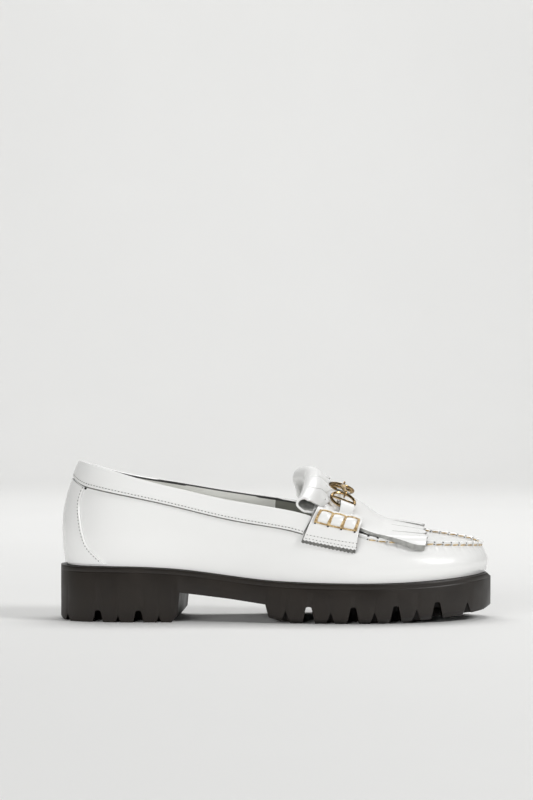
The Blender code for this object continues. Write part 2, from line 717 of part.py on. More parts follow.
def tab_face(side, along, up):
    """Points on a tab's inner face: along it from back to front, and up it from foot to top."""
    fold = (lambda t: t) if side == "lateral" else (lambda t: 1 - t)
    foot_x, top_x, top_t = (blend(*ends, along) for ends in (TAB_FOOT_X, TAB_TOP_X, TAB_TOP_T))
    seam_share = blend(*TAB_SEAM_SHARE, along)
    seam_x = blend(foot_x, top_x, seam_share)
    over_x = blend(foot_x, top_x, (1 + seam_share) / 2)
    row = LOOP(turn_at(foot_x, side))
    floor = sole_top(row[0]) + GAP
    raise_medial = 0.0 if side == "lateral" else row[4] - LOOP(turn_at(foot_x, "lateral"))[4]
    foot_w = (blend(*TAB_FOOT_Z, along) + raise_medial - floor) / (row[4] - floor)
    over_seam = seam_normal(seam_x, side) * (seam_rise(seam_x) + 2.5 * GAP)
    knots = np.array(
        [
            wall(turn_on_wall(foot_x, foot_w, side), foot_w, OVERLAY_GAP),
            wall(turn_at(seam_x, side), 1.0) + over_seam,
            crown(over_x, fold(top_t * 0.55), kiltie_top(over_x) + 2 * GAP),
            crown(top_x, fold(top_t), kiltie_top(top_x) + 2 * GAP),
        ]
    )
    reach = np.concatenate([[0], np.cumsum(np.linalg.norm(np.diff(knots, axis=0), axis=1))])
    return spline(reach / reach[-1], knots)(up)


def grid_normals(grid):
    along = np.gradient(grid, axis=0)
    across = np.gradient(grid, axis=1)
    return unit(np.cross(along, across))


def tab_grid(side, alongs, ups):
    grid = np.array([tab_face(side, a, np.asarray(ups)) for a in alongs])
    normal = grid_normals(grid)
    return grid, normal if side == "lateral" else -normal


def make_tab(side):
    grid, normal = tab_grid(side, np.linspace(0, 1, 7), np.linspace(0, 1, 9))
    add_sheet(f"strap_tab_{side}", grid + normal * TAB_THICK, grid, "white_leather")


def make_beef_roll(side):
    along, up = np.linspace(0, 1, 13), np.linspace(0, 1, 6)
    grid, normal = tab_grid(side, blend(*ROLL_ALONG, along), blend(*ROLL_UP, up))
    cells = np.abs(np.sin(np.pi * ROLL_CELLS * along)) ** 0.6
    round_up = np.sin(np.pi * up) ** 0.7
    high = ROLL_EDGE + ROLL_HIGH * np.outer(blend(ROLL_VALLEY, 1, cells), round_up)
    base = TAB_THICK + GAP
    outer = grid + normal * (base + high[..., None])
    add_sheet(f"beef_roll_{side}", outer, grid + normal * base, "white_leather")


def kiltie_path():
    """Rows of (x, lift, edge) along the kiltie's middle layer."""
    rows = [(f.x, f.lift, f.edge) for f in BODY]
    centre = BODY[-1].lift + CURL_RADIUS
    for angle in np.linspace(1.5 * np.pi, 0.5 * np.pi, CURL_STEPS + 1):
        x = CURL_X + CURL_RADIUS * math.cos(angle)
        rows.append((x, centre + CURL_RADIUS * math.sin(angle), CURL_EDGE))
    return rows + [(f.x, f.lift, f.edge) for f in FLAP]


def kiltie_point(x, lift, t):
    """A point over the apron. Past the seams it drapes outwards and down."""
    inside = np.clip(t, 0, 1)
    over = (t - inside) * np.linalg.norm(crown(x, 1.0) - crown(x, 0.0), axis=-1)
    found = crown(x, inside, lift)
    found[..., 1] += over
    found[..., 2] -= DRAPE * over**2
    return found


def make_kiltie():
    rows = kiltie_path()
    lines, tips, slits = [], [], []
    for k in range(STRIPS):
        low = k / STRIPS + (SLIT / 2 if k else 0)
        high = (k + 1) / STRIPS - (SLIT / 2 if k < STRIPS - 1 else 0)
        bends = [bend for bend in (*SIDE_BENDS, 1 - SIDE_BENDS[1], 1 - SIDE_BENDS[0]) if low < bend < high]
        lines += sorted([low, (low + high) / 2, high, *bends])
        tips.append(lines.index((low + high) / 2))
        slits.append(len(lines) - 1)
    lines = np.array(lines)
    flap = len(BODY) + CURL_STEPS
    middle = []
    for k, (x, lift, edge) in enumerate(rows):
        to_side = (1 - np.sin(np.pi * lines)) ** 2
        behind = ramp(-x, -BODY[-1].x, -CURL_X) * ramp(-k, 1 - len(rows), 1 - flap)
        xs = x - CURL_SWEEP * behind * to_side
        lifts = lift * (1 - FLAP_DROP * ramp(k, flap - 1, len(rows) - 1) * to_side)
        if k in (0, len(rows) - 1):
            xs[tips] += TIP_LONG
        middle.append(kiltie_point(xs, lifts, blend(edge, 1 - edge, lines)))
    middle = np.array(middle)
    half = grid_normals(middle) * KILTIE_THICK / 2
    root = next(k for k, row in enumerate(rows) if row[0] <= FRINGE_ROOT)
    keep = np.ones((len(rows) - 1, len(lines) - 1), bool)
    keep[:root, slits[:-1]] = False
    keep[flap:, slits[:-1]] = False
    add_sheet("kiltie", middle - half, middle + half, "white_leather", keep)


def ring_frame(side):
    """Centre of a ring, and its directions: along the shoe, towards the crest, and off the surface."""
    t = RING_T[side]
    lift = kiltie_top(RING_X) + RING_LIFT
    ahead, behind = RING_X + 3, RING_X - 3
    along = unit(crown(ahead, t, kiltie_top(ahead)) - crown(behind, t, kiltie_top(behind)))
    across = crown(RING_X, t + 0.02) - crown(RING_X, t - 0.02)
    if side == "medial":
        across = -across
    across = unit(across - along * np.dot(across, along))
    off = np.cross(along, across) * (1 if side == "lateral" else -1)
    tilted = unit(across + off * RING_TILT)
    return crown(RING_X, t, lift), along, tilted, unit(off - tilted * np.dot(off, tilted))


def make_ring(side):
    centre, along, across, _ = ring_frame(side)
    turns = np.linspace(0, 2 * np.pi, 22, endpoint=False)
    path = [
        centre + along * RING_LONG * math.cos(a) + across * RING_WIDE * math.sin(a) for a in turns
    ]
    ring = add_piece(f"bit_ring_{side}", *tube(path, RING_TUBE, 8, closed=True), "gold_metal")
    rod = [centre - along * RING_LONG, centre, centre + along * RING_LONG]
    rod[1] = rod[1] + across * 0.01
    cut(ring, add_piece(f"crossbar {side}", *tube(rod, RING_TUBE * 0.92, 8)), "UNION")


def make_bar():
    ends, eyes = [], []
    for side in ("lateral", "medial"):
        centre, _, across, off = ring_frame(side)
        seat = centre + across * RING_WIDE
        turns = np.linspace(0, 2 * np.pi, 12, endpoint=False)
        path = [seat + EYE_RADIUS * (across * math.cos(a) + off * math.sin(a)) for a in turns]
        eyes.append(add_piece(f"eye {side}", *tube(path, EYE_TUBE, 6, closed=True)))
        ends.append(seat + across * EYE_RADIUS)
    span = np.linspace(0, 1, 13)
    arch = crown(RING_X, 0.5, kiltie_top(RING_X) + RING_LIFT + BAR_RISE)
    lean = 2 * arch - (ends[0] + ends[1]) / 2
    path = [(1 - s) ** 2 * ends[0] + 2 * s * (1 - s) * lean + s**2 * ends[1] for s in span]
    radii = BAR_TUBE + (BAR_BARREL - BAR_TUBE) * np.sin(np.pi * span) ** 2
    bar = add_piece("bit_bar", *tube(path, radii, 8), "gold_metal")
    for eye in eyes:
        cut(bar, eye, "UNION")


def keeper_skew(arc, x):
    """The keeper's lower end is cut on the slant of the tab's top edge."""
    return KEEPER_SLANT * (x - RING_X) * ramp(-arc, 8.0, 11.0)


def make_keeper(side):
    """A leather loop from the tab's top edge over the ring and round its crossbar."""
    t = RING_T[side]
    sign = 1 if side == "lateral" else -1
    per_t = np.linalg.norm(crown(RING_X, t + 0.05) - crown(RING_X, t - 0.05)) / 0.1
    radius = RING_TUBE + GAP + KEEPER_THICK / 2 + 0.15
    run = [(k.arc, k.lift) for k in KEEPER_RUN]
    for angle in np.linspace(0.5 * np.pi, -0.5 * np.pi, 7):
        run.append((radius * math.cos(angle), RING_LIFT + radius * math.sin(angle)))
    run.append((KEEPER_END, RING_LIFT - radius))
    run = np.array(run)
    ahead = unit(np.gradient(run, axis=0))
    off = np.stack([-ahead[:, 1], ahead[:, 0]], axis=1) * KEEPER_THICK / 2
    xs = RING_X + np.linspace(-0.5, 0.5, 3) * KEEPER_WIDE
    faces = []
    for shift in (off, -off):
        grid = [
            crown(xs, t + sign * (arc + keeper_skew(arc, xs)) / per_t, kiltie_top(xs) + lift)
            for arc, lift in run + shift
        ]
        faces.append(np.array(grid))
    add_sheet(f"keeper_{side}", faces[0], faces[1], "white_leather")


def main():
    for old in list(bpy.data.objects):
        bpy.data.objects.remove(old, do_unlink=True)
    make_outsole()
    make_insole()
    make_upper()
    make_collar_band()
    make_heel_counter()
    make_kiltie()
    for side in ("lateral", "medial"):
        make_tab(side)
        make_beef_roll(side)
        make_ring(side)
        make_keeper(side)
    make_bar()


main()
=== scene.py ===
# %% [markdown]
# # A white kiltie loafer with a metal bit, on a lugged rubber sole
#
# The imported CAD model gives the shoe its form: one solid for each piece that a maker would cut
# or mould. This lesson dresses that form. Every leather piece is made again from the same last,
# finer and softer, with its gathers, stitches, cut edges and grain. The rubber and the metal
# are made again with rounded edges. Nothing is measured off the solids: the tables below are
# the last itself.

import math
from collections import namedtuple

import bmesh
import bpy
import numpy as np
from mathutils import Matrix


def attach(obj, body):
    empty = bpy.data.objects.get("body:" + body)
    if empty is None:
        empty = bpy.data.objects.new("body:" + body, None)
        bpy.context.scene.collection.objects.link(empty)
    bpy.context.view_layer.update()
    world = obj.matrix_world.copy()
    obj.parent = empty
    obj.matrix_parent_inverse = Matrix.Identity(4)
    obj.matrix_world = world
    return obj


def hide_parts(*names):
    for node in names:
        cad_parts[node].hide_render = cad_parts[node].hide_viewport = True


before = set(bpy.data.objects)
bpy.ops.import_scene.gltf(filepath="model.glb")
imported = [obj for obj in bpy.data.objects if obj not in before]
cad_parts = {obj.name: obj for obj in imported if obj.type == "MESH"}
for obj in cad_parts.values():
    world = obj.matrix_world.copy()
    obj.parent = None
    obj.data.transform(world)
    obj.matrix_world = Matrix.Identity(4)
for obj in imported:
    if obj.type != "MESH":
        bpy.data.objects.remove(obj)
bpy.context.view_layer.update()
print("CAD nodes:", ", ".join(sorted(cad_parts)))

# %% [markdown]
# ## The last
#
# A shoe is lasted: flat leather is pulled over a wooden form until it takes its shape. Stations
# run from the back of the sole to the toe, lateral is -Y, and all sizes are millimetres. Each
# row gives one section of the wall, from the feather line on the sole up to the topline at the
# back, or to the moccasin seam in front. A few rows with named columns are easier to correct
# against a photo than thousands of points.

# %% Tables of the last
MM = 0.001
GAP = 0.3
OVERLAY_GAP = 0.42
WALL = 2.0
THROAT = 153.0
CROWN_SKEW = 1.15
SIDES = ("lateral", "medial")

Section = namedtuple(
    "Section", "name foot_x foot_lat foot_med top_x top_lat top_med z_lat z_med bulge"
)
SECTIONS = (
    Section("heel back", 4.2, 0.0, 0.0, 12.6, 0.0, 0.0, 96.0, 96.0, 5.5),
    Section("heel corner", 11.0, 20.5, 20.0, 20.6, 16.5, 16.0, 94.0, 93.6, 4.9),
    Section("heel side", 32.0, 30.6, 29.8, 40.0, 25.5, 24.5, 89.0, 88.2, 4.0),
    Section("seat", 70.0, 31.2, 30.0, 72.0, 27.5, 26.5, 80.8, 81.0, 3.2),
    Section("waist", 108.0, 34.0, 29.5, 108.0, 30.5, 27.5, 72.0, 74.0, 3.2),
    Section("throat", 148.0, 42.0, 37.5, 150.0, 36.5, 32.5, 65.2, 68.8, 3.8),
    Section("saddle", 180.0, 45.5, 42.5, 181.0, 38.0, 35.5, 51.2, 56.5, 4.2),
    Section("ball", 206.0, 43.0, 43.0, 204.0, 36.0, 35.5, 47.8, 52.6, 4.4),
    Section("vamp", 228.0, 36.0, 38.5, 225.0, 29.5, 31.5, 46.3, 50.6, 4.4),
    Section("toe side", 244.0, 25.5, 31.0, 241.5, 20.0, 25.0, 45.4, 48.6, 4.0),
    Section("toe corner", 254.5, 11.5, 20.5, 252.5, 9.0, 16.5, 44.8, 46.6, 3.4),
    Section("toe tip", 259.3, -5.0, 5.0, 257.0, -4.5, 4.5, 44.6, 44.6, 2.8),
)
Crown = namedtuple("Crown", "x rise")
CROWN = (
    Crown(136.0, 12.5),
    Crown(150.0, 12.5),
    Crown(165.0, 14.8),
    Crown(172.0, 15.0),
    Crown(181.0, 13.0),
    Crown(194.0, 6.6),
    Crown(205.0, 4.6),
    Crown(223.0, 2.6),
    Crown(240.0, 1.2),
    Crown(257.0, 0.0),
)
TopEdge = namedtuple("TopEdge", "x z")
TOP_EDGE = (
    TopEdge(0.0, 33.2),
    TopEdge(24.0, 33.2),
    TopEdge(52.0, 32.8),
    TopEdge(76.0, 31.2),
    TopEdge(104.0, 27.7),
    TopEdge(126.0, 25.3),
    TopEdge(150.0, 24.2),
    TopEdge(180.0, 23.8),
    TopEdge(206.0, 24.2),
    TopEdge(228.0, 25.4),
    TopEdge(262.0, 28.2),
)

# %% [markdown]
# ## Curves through the sections
#
# A cubic spline runs round the shoe through the sections, as a lasted upper has no corners. The
# wall bulges between feather line and top, and the crown is the apron between the two seams.
# Both can be lifted off along their own normal, and every overlay is made that way, so it
# follows the leather under it exactly.

# %% Spline, wall and crown


def spline(knots, values, period=0.0):
    """A cubic spline through the values at the knots, closed where a period is given."""
    t = np.asarray(knots, float)
    v = np.asarray(values, float).reshape(len(t), -1)
    if period:
        t = np.append(t, t[0] + period)
        v = np.vstack([v, v[:1]])
    step = np.diff(t)
    slope = np.diff(v, axis=0) / step[:, None]
    n = len(t)
    rows = np.zeros((n, n))
    sides = np.zeros(v.shape)
    for i in range(1, n - 1):
        rows[i, i - 1 : i + 2] = step[i - 1], 2 * (step[i - 1] + step[i]), step[i]
        sides[i] = 6 * (slope[i] - slope[i - 1])
    rows[0, 0] = 1
    rows[-1, -1] = 1
    if period:
        rows[0, -1] = -1
        rows[-1, [0, 1]] = 2 * step[0], step[0]
        rows[-1, [-2, -1]] = step[-1], 2 * step[-1]
        sides[-1] = 6 * (slope[0] - slope[-1])
    bend = np.linalg.solve(rows, sides)

    def at(x):
        x = np.asarray(x, float)
        x = t[0] + (x - t[0]) % period if period else np.clip(x, t[0], t[-1])
        i = np.clip(np.searchsorted(t, x, side="right") - 1, 0, n - 2)
        p = ((t[i + 1] - x) / step[i])[..., None]
        q = 1 - p
        bow = (p**3 - p) * bend[i] + (q**3 - q) * bend[i + 1]
        found = p * v[i] + q * v[i + 1] + bow * step[i][..., None] ** 2 / 6
        return found if v.shape[1] > 1 else found[..., 0]

    return at


def blend(a, b, share):
    return a + (b - a) * share


def ramp(x, low, high):
    """0 below low, 1 above high, smooth between."""
    s = np.clip((np.asarray(x, float) - low) / (high - low), 0, 1)
    return s * s * (3 - 2 * s)


def eased(count, margin=0.0):
    """Shares from 0 to 1 that lie closer together at both ends."""
    return (1 - np.cos(np.linspace(margin, np.pi - margin, count))) / 2


def unit(v):
    return v / np.linalg.norm(v, axis=-1, keepdims=True)


def lengths(points):
    """The distance along a row of points, from 0 at the first."""
    steps = np.linalg.norm(np.diff(points, axis=0), axis=1)
    return np.concatenate([[0], np.cumsum(steps)])


def wall_loop():
    """The wall's sections in order round the shoe: heel, lateral side, toe, medial side."""
    lateral = [(s.foot_x, -s.foot_lat, s.top_x, -s.top_lat, s.z_lat, s.bulge) for s in SECTIONS]
    medial = [(s.foot_x, s.foot_med, s.top_x, s.top_med, s.z_med, s.bulge) for s in SECTIONS]
    rows = np.array(lateral + medial[-2:0:-1])
    reach = lengths(np.vstack([rows, rows[:1]])[:, :2])
    return spline(reach[:-1] / reach[-1], rows, 1.0), reach[len(SECTIONS) - 1] / reach[-1]


LOOP, TOE_TURN = wall_loop()
sole_top = spline([e.x for e in TOP_EDGE], [e.z for e in TOP_EDGE])
crown_rise = spline([c.x for c in CROWN], [c.rise for c in CROWN])
TURNS = {"lateral": np.linspace(0, TOE_TURN, 800), "medial": np.linspace(1, TOE_TURN, 800)}


def turn_at(x, side):
    """The turn round the loop where the topline or the moccasin seam reaches x."""
    return np.interp(x, LOOP(TURNS[side])[:, 2], TURNS[side])


def outward(turn):
    """The level direction out of the shoe, square to the feather line."""
    along = LOOP(np.asarray(turn) + 1e-4)[..., :2] - LOOP(np.asarray(turn) - 1e-4)[..., :2]
    square = np.stack([along[..., 1], -along[..., 0], np.zeros(along.shape[:-1])], axis=-1)
    return unit(square)


def wall(turn, w, lift=0.0):
    """The wall's outer face at a turn round the shoe and a share w of its height, or lifted off it."""
    turn, w, lift = np.broadcast_arrays(*(np.asarray(a, float) for a in (turn, w, lift)))

    def face(turn, w):
        row = LOOP(turn)
        foot = np.stack([row[..., 0], row[..., 1], sole_top(row[..., 0]) + GAP], axis=-1)
        swell = row[..., 5] * np.sin(np.pi * np.clip(w, 0, 1))
        return blend(foot, row[..., 2:5], w[..., None]) + outward(turn) * swell[..., None]

    step = 1e-3
    along = face(turn + step, w) - face(turn - step, w)
    up = face(turn, w + step) - face(turn, w - step)
    return face(turn, w) + unit(np.cross(along, up)) * lift[..., None]


def crown(x, t, lift=0.0):
    """The apron over the instep: t runs from the lateral seam (0) to the medial seam (1)."""
    x, t, lift = np.broadcast_arrays(*(np.asarray(a, float) for a in (x, t, lift)))

    def face(x, t):
        sides = [LOOP(turn_at(x, side))[..., 2:5] for side in SIDES]
        found = blend(sides[0], sides[1], t[..., None])
        hump = np.sin(np.pi * np.clip(t, 0, 1) ** CROWN_SKEW)
        found[..., 2] += crown_rise(x) * hump
        return found

    step = 1e-2
    along = face(x + 1, t) - face(x - 1, t)
    across = face(x, np.clip(t + step, 0, 1)) - face(x, np.clip(t - step, 0, 1))
    return face(x, t) + unit(np.cross(along, across)) * lift[..., None]


def turn_on_wall(x, w, side):
    """The turn round the loop where the wall at a share w of its height reaches x."""
    return np.interp(x, wall(TURNS[side], w)[:, 0], TURNS[side])


def wall_height(turn):
    row = LOOP(turn)
    return row[..., 4] - sole_top(row[..., 0]) - GAP


FLANGE_HEEL, FLANGE_SIDE, FLANGE_TOE = 4.2, 3.1, 3.4


def flange(x):
    """How far the sole stands out past the feather line."""
    back = 1 - ramp(x, SECTIONS[0].foot_x, SECTIONS[2].foot_x)
    front = ramp(x, SECTIONS[-4].foot_x, SECTIONS[-1].foot_x)
    return FLANGE_SIDE + (FLANGE_HEEL - FLANGE_SIDE) * back + (FLANGE_TOE - FLANGE_SIDE) * front


def level_outline(offset):
    """The feather line moved out by an offset, as arrays of x and y for each side."""
    sides = {}
    for side, turns in TURNS.items():
        foot = LOOP(turns)[:, :2]
        edge = foot + offset(foot[:, :1]) * outward(turns)[:, :2]
        sides[side] = edge[np.argsort(edge[:, 0])]
    return sides


OUTLINE = level_outline(flange)
SOLE_START = max(edge[0, 0] for edge in OUTLINE.values())
SOLE_END = min(edge[-1, 0] for edge in OUTLINE.values())
WIDEST = OUTLINE["lateral"][:, 1].min(), OUTLINE["medial"][:, 1].max()
ORIGIN = np.array([(SOLE_START + SOLE_END) / 2, sum(WIDEST) / 2, 0.0])
print(f"sole {SOLE_END - SOLE_START:.1f} mm long and {WIDEST[1] - WIDEST[0]:.1f} mm wide")

# %% [markdown]
# ## From points to pieces
#
# All pieces come from two moves. A loft skins a row of closed sections, as for the sole or the
# wall of the upper. A sheet takes two matching grids, the face and the back of a piece of
# leather, and closes the rim between them, so a cut edge is real and can have its own colour.
# A small bevel then takes the razor edge off, because no leather or rubber edge is that sharp.

# %% Mesh helpers


def add_piece(name, points, faces, finishes, finish_of_face=None, crease=42):
    """A mesh object from points in millimetres and finishes by name, its faces turned outwards."""
    mesh = bpy.data.meshes.new(name)
    mesh.from_pydata(((np.asarray(points) - ORIGIN) * MM).tolist(), [], faces)
    for finish in finishes:
        mesh.materials.append(FINISH[finish])
    if finish_of_face is not None:
        mesh.polygons.foreach_set("material_index", np.asarray(finish_of_face, np.int32))
    shape = bmesh.new()
    shape.from_mesh(mesh)
    bmesh.ops.recalc_face_normals(shape, faces=shape.faces)
    shape.to_mesh(mesh)
    shape.free()
    mesh.shade_smooth()
    mesh.set_sharp_from_angle(angle=math.radians(crease))
    piece = bpy.data.objects.new(name, mesh)
    bpy.context.scene.collection.objects.link(piece)
    return piece


def grid_quads(rows, columns, keep=None):
    return [
        (i * columns + j, i * columns + j + 1, (i + 1) * columns + j + 1, (i + 1) * columns + j)
        for i in range(rows - 1)
        for j in range(columns - 1)
        if keep is None or keep[i][j]
    ]


def sheet(outer, inner, keep=None):
    """Points, faces and parts (0 face, 1 back, 2 rim) of a piece of leather between two grids."""
    quads = grid_quads(*outer.shape[:2], keep)
    count = outer.shape[0] * outer.shape[1]
    faces, parts, rim = [], [], {}
    for quad in quads:
        faces += [quad, tuple(i + count for i in reversed(quad))]
        parts += [0, 1]
        for i, j in zip(quad, (*quad[1:], quad[0])):
            if rim.pop((j, i), None) is None:
                rim[(i, j)] = True
    for i, j in rim:
        faces.append((j, i, i + count, j + count))
        parts.append(2)
    points = np.vstack([outer.reshape(-1, 3), inner.reshape(-1, 3)])
    used = np.unique([i for face in faces for i in face])
    place = np.zeros(len(points), int)
    place[used] = np.arange(len(used))
    return points[used], [tuple(int(place[i]) for i in face) for face in faces], parts


def loft(sections, closed=False):
    """Points and faces of a skin through closed sections, with flat ends unless it closes up."""
    sections = np.asarray(sections)
    rows, count = sections.shape[:2]
    faces = [] if closed else [list(range(count)), list(range((rows - 1) * count, rows * count))]
    for k in range(rows if closed else rows - 1):
        here, there = k * count, (k + 1) % rows * count
        for i in range(count):
            j = (i + 1) % count
            faces.append((here + i, here + j, there + j, there + i))
    return sections.reshape(-1, 3), faces


def join_shapes(*shapes):
    """Several (points, faces) as one."""
    points, faces = [], []
    start = 0
    for some, quads in shapes:
        points.append(some)
        faces += [tuple(i + start for i in quad) for quad in quads]
        start += len(some)
    return np.vstack(points), faces


def grid_normals(grid):
    return unit(np.cross(np.gradient(grid, axis=0), np.gradient(grid, axis=1)))


def settle(piece):
    """Applies the piece's modifiers, so that its mesh is plain."""
    graph = bpy.context.evaluated_depsgraph_get()
    made = bpy.data.meshes.new_from_object(piece.evaluated_get(graph))
    piece.modifiers.clear()
    old, piece.data = piece.data, made
    bpy.data.meshes.remove(old)
    return piece


def round_edges(piece, width, segments=2, angle=40):
    bevel = piece.modifiers.new("round edges", "BEVEL")
    bevel.width = width * MM
    bevel.segments = segments
    bevel.limit_method = "ANGLE"
    bevel.angle_limit = math.radians(angle)
    settle(piece)
    piece.data.shade_smooth()
    piece.data.set_sharp_from_angle(angle=math.radians(60))
    return piece


def put_on(piece, *nodes, slot=None):
    """The piece rides on the shoe, and stands for these CAD nodes."""
    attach(piece, "root")
    if nodes:
        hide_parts(*nodes)
    print(f"{piece.name}: {len(piece.data.polygons)} faces")
    return piece


# %% [markdown]
# ## Finishes
#
# Two small node groups are shared. The first is a leather grain: cells of about half a
# millimetre with soft furrows between them, put out as a height. The second is slow drift, the
# clouding that any dyed or moulded surface has, put out as a value. Each material then feeds
# them to its own shader. The white leather is polished, so its grain is faint and a clear coat
# carries the reflections.

# %% Node helpers and the two groups


def new_node(tree, kind, **values):
    made = tree.nodes.new(kind)
    for name, value in values.items():
        setattr(made, name, value)
    return made


def wire(tree, *joins):
    """Links nodes: each join is a node, its output, the next node and its input."""
    for source, output, target, taken in joins:
        tree.links.new(source.outputs[output], target.inputs[taken])


def grain_group():
    tree = bpy.data.node_groups.new("Leather grain", "ShaderNodeTree")
    ports = tree.interface
    ports.new_socket("Place", in_out="INPUT", socket_type="NodeSocketVector")
    cells = ports.new_socket("Cells per metre", in_out="INPUT", socket_type="NodeSocketFloat")
    cells.default_value = 1800
    ports.new_socket("Height", in_out="OUTPUT", socket_type="NodeSocketFloat")
    given = new_node(tree, "NodeGroupInput")
    out = new_node(tree, "NodeGroupOutput")
    bent = new_node(tree, "ShaderNodeTexNoise")
    bent.inputs["Scale"].default_value = 420
    shifted = new_node(tree, "ShaderNodeVectorMath", operation="MULTIPLY_ADD")
    shifted.inputs[1].default_value = (0.0009, 0.0009, 0.0009)
    cell = new_node(tree, "ShaderNodeTexVoronoi", feature="DISTANCE_TO_EDGE")
    dome = new_node(tree, "ShaderNodeMapRange", interpolation_type="SMOOTHSTEP")
    dome.inputs["From Max"].default_value = 0.28
    fine = new_node(tree, "ShaderNodeTexNoise")
    fine.inputs["Scale"].default_value = 5200
    both = new_node(tree, "ShaderNodeMath", operation="MULTIPLY_ADD")
    both.inputs[1].default_value = 0.25
    wire(
        tree,
        (given, "Place", bent, "Vector"),
        (given, "Place", fine, "Vector"),
        (bent, "Color", shifted, 0),
        (given, "Place", shifted, 2),
        (shifted, 0, cell, "Vector"),
        (given, "Cells per metre", cell, "Scale"),
        (cell, "Distance", dome, "Value"),
        (fine, "Fac", both, 0),
        (dome, "Result", both, 2),
        (both, 0, out, "Height"),
    )
    return tree


def drift_group():
    tree = bpy.data.node_groups.new("Slow drift", "ShaderNodeTree")
    ports = tree.interface
    ports.new_socket("Place", in_out="INPUT", socket_type="NodeSocketVector")
    clouds = ports.new_socket("Clouds per metre", in_out="INPUT", socket_type="NodeSocketFloat")
    clouds.default_value = 30
    ports.new_socket("Value", in_out="OUTPUT", socket_type="NodeSocketFloat")
    given = new_node(tree, "NodeGroupInput")
    out = new_node(tree, "NodeGroupOutput")
    noise = new_node(tree, "ShaderNodeTexNoise")
    noise.inputs["Detail"].default_value = 4
    spread = new_node(tree, "ShaderNodeMapRange", interpolation_type="SMOOTHSTEP")
    spread.inputs["From Min"].default_value = 0.32
    spread.inputs["From Max"].default_value = 0.68
    wire(
        tree,
        (given, "Place", noise, "Vector"),
        (given, "Clouds per metre", noise, "Scale"),
        (noise, "Fac", spread, "Value"),
        (spread, "Result", out, "Value"),
    )
    return tree


GRAIN, DRIFT = grain_group(), drift_group()

# %% [markdown]
# One function makes every material: two tones that the drift blends, a span of roughness, and a
# bump from the grain or from plain noise. What differs between leather, rubber, thread and
# metal is a row in a table, which keeps the finishes easy to compare. Constant values, such as
# the coat's roughness, are set on the shader itself.

# %% Materials
Finish = namedtuple(
    "Finish", "dark light rough_low rough_high metallic coat cells bump_mm clouds sheen"
)
FINISHES = {
    "white_leather": Finish(
        (0.830, 0.830, 0.817), (0.838, 0.838, 0.826), 0.245, 0.265, 0, 0.4, 1900, 0.012, 26, 0
    ),
    # Cut edges: dark grey, partly the raw leather's own colour and partly painted shade for the shadow
    # lines along the tabs, keepers and the band's foot.
    "raw_edge": Finish(
        (0.14, 0.14, 0.13), (0.28, 0.28, 0.265), 0.75, 0.9, 0, 0, 2600, 0.10, 420, 0.1
    ),
    "grey_lining": Finish(
        (0.69, 0.69, 0.655), (0.77, 0.77, 0.735), 0.50, 0.62, 0, 0, 1500, 0.03, 40, 0.1
    ),
    # Painted shade: a near-black lining for the inside from 131 mm forward, standing for the shade
    # deep in the toe and under the kiltie.
    "vamp_lining": Finish(
        (0.145, 0.147, 0.127), (0.195, 0.198, 0.172), 0.6, 0.75, 0, 0, 1500, 0.04, 60, 0.2
    ),
    # Grey for the kiltie's underside, rims and side edges: partly the flesh side's own colour, partly
    # painted shade for the roll's inside, the slits and the gap under the fringe.
    "flesh_side": Finish(
        (0.26, 0.26, 0.246), (0.38, 0.38, 0.361), 0.8, 0.92, 0, 0, 2200, 0.06, 300, 0.2
    ),
    "brown_rubber": Finish(
        (0.014, 0.0108, 0.0085), (0.020, 0.0158, 0.0125), 0.42, 0.56, 0, 0, 0, 0.03, 55, 0
    ),
    "gold_metal": Finish((0.22, 0.13, 0.048), (0.92, 0.68, 0.36), 0.05, 0.10, 1, 0, 0, 0.002, 210, 0),
    "gold_thread": Finish((0.28, 0.17, 0.06), (0.72, 0.54, 0.28), 0.55, 0.75, 0, 0, 0, 0.06, 700, 0.3),
    "white_thread": Finish((0.66, 0.66, 0.63), (0.80, 0.80, 0.77), 0.6, 0.8, 0, 0, 0, 0.05, 900, 0.3),
    # Painted shade: near-black blobs set in needle holes, in the valleys between gathers and in the
    # gaps at the counter's corners, for the shade there.
    "dark_hole": Finish((0.012, 0.011, 0.010), (0.03, 0.028, 0.026), 0.8, 0.95, 0, 0, 0, 0.03, 900, 0),
    # Near black, for the inside edge of the collar band.
    "inked_edge": Finish((0.03, 0.03, 0.03), (0.06, 0.06, 0.058), 0.45, 0.6, 0, 0, 0, 0.03, 300, 0),
    "paper": Finish((0.80, 0.80, 0.79), (0.81, 0.81, 0.80), 0.85, 0.95, 0, 0, 0, 0.02, 3, 0),
}
FINE_NOISE = 3500
COAT_ROUGH = 0.07


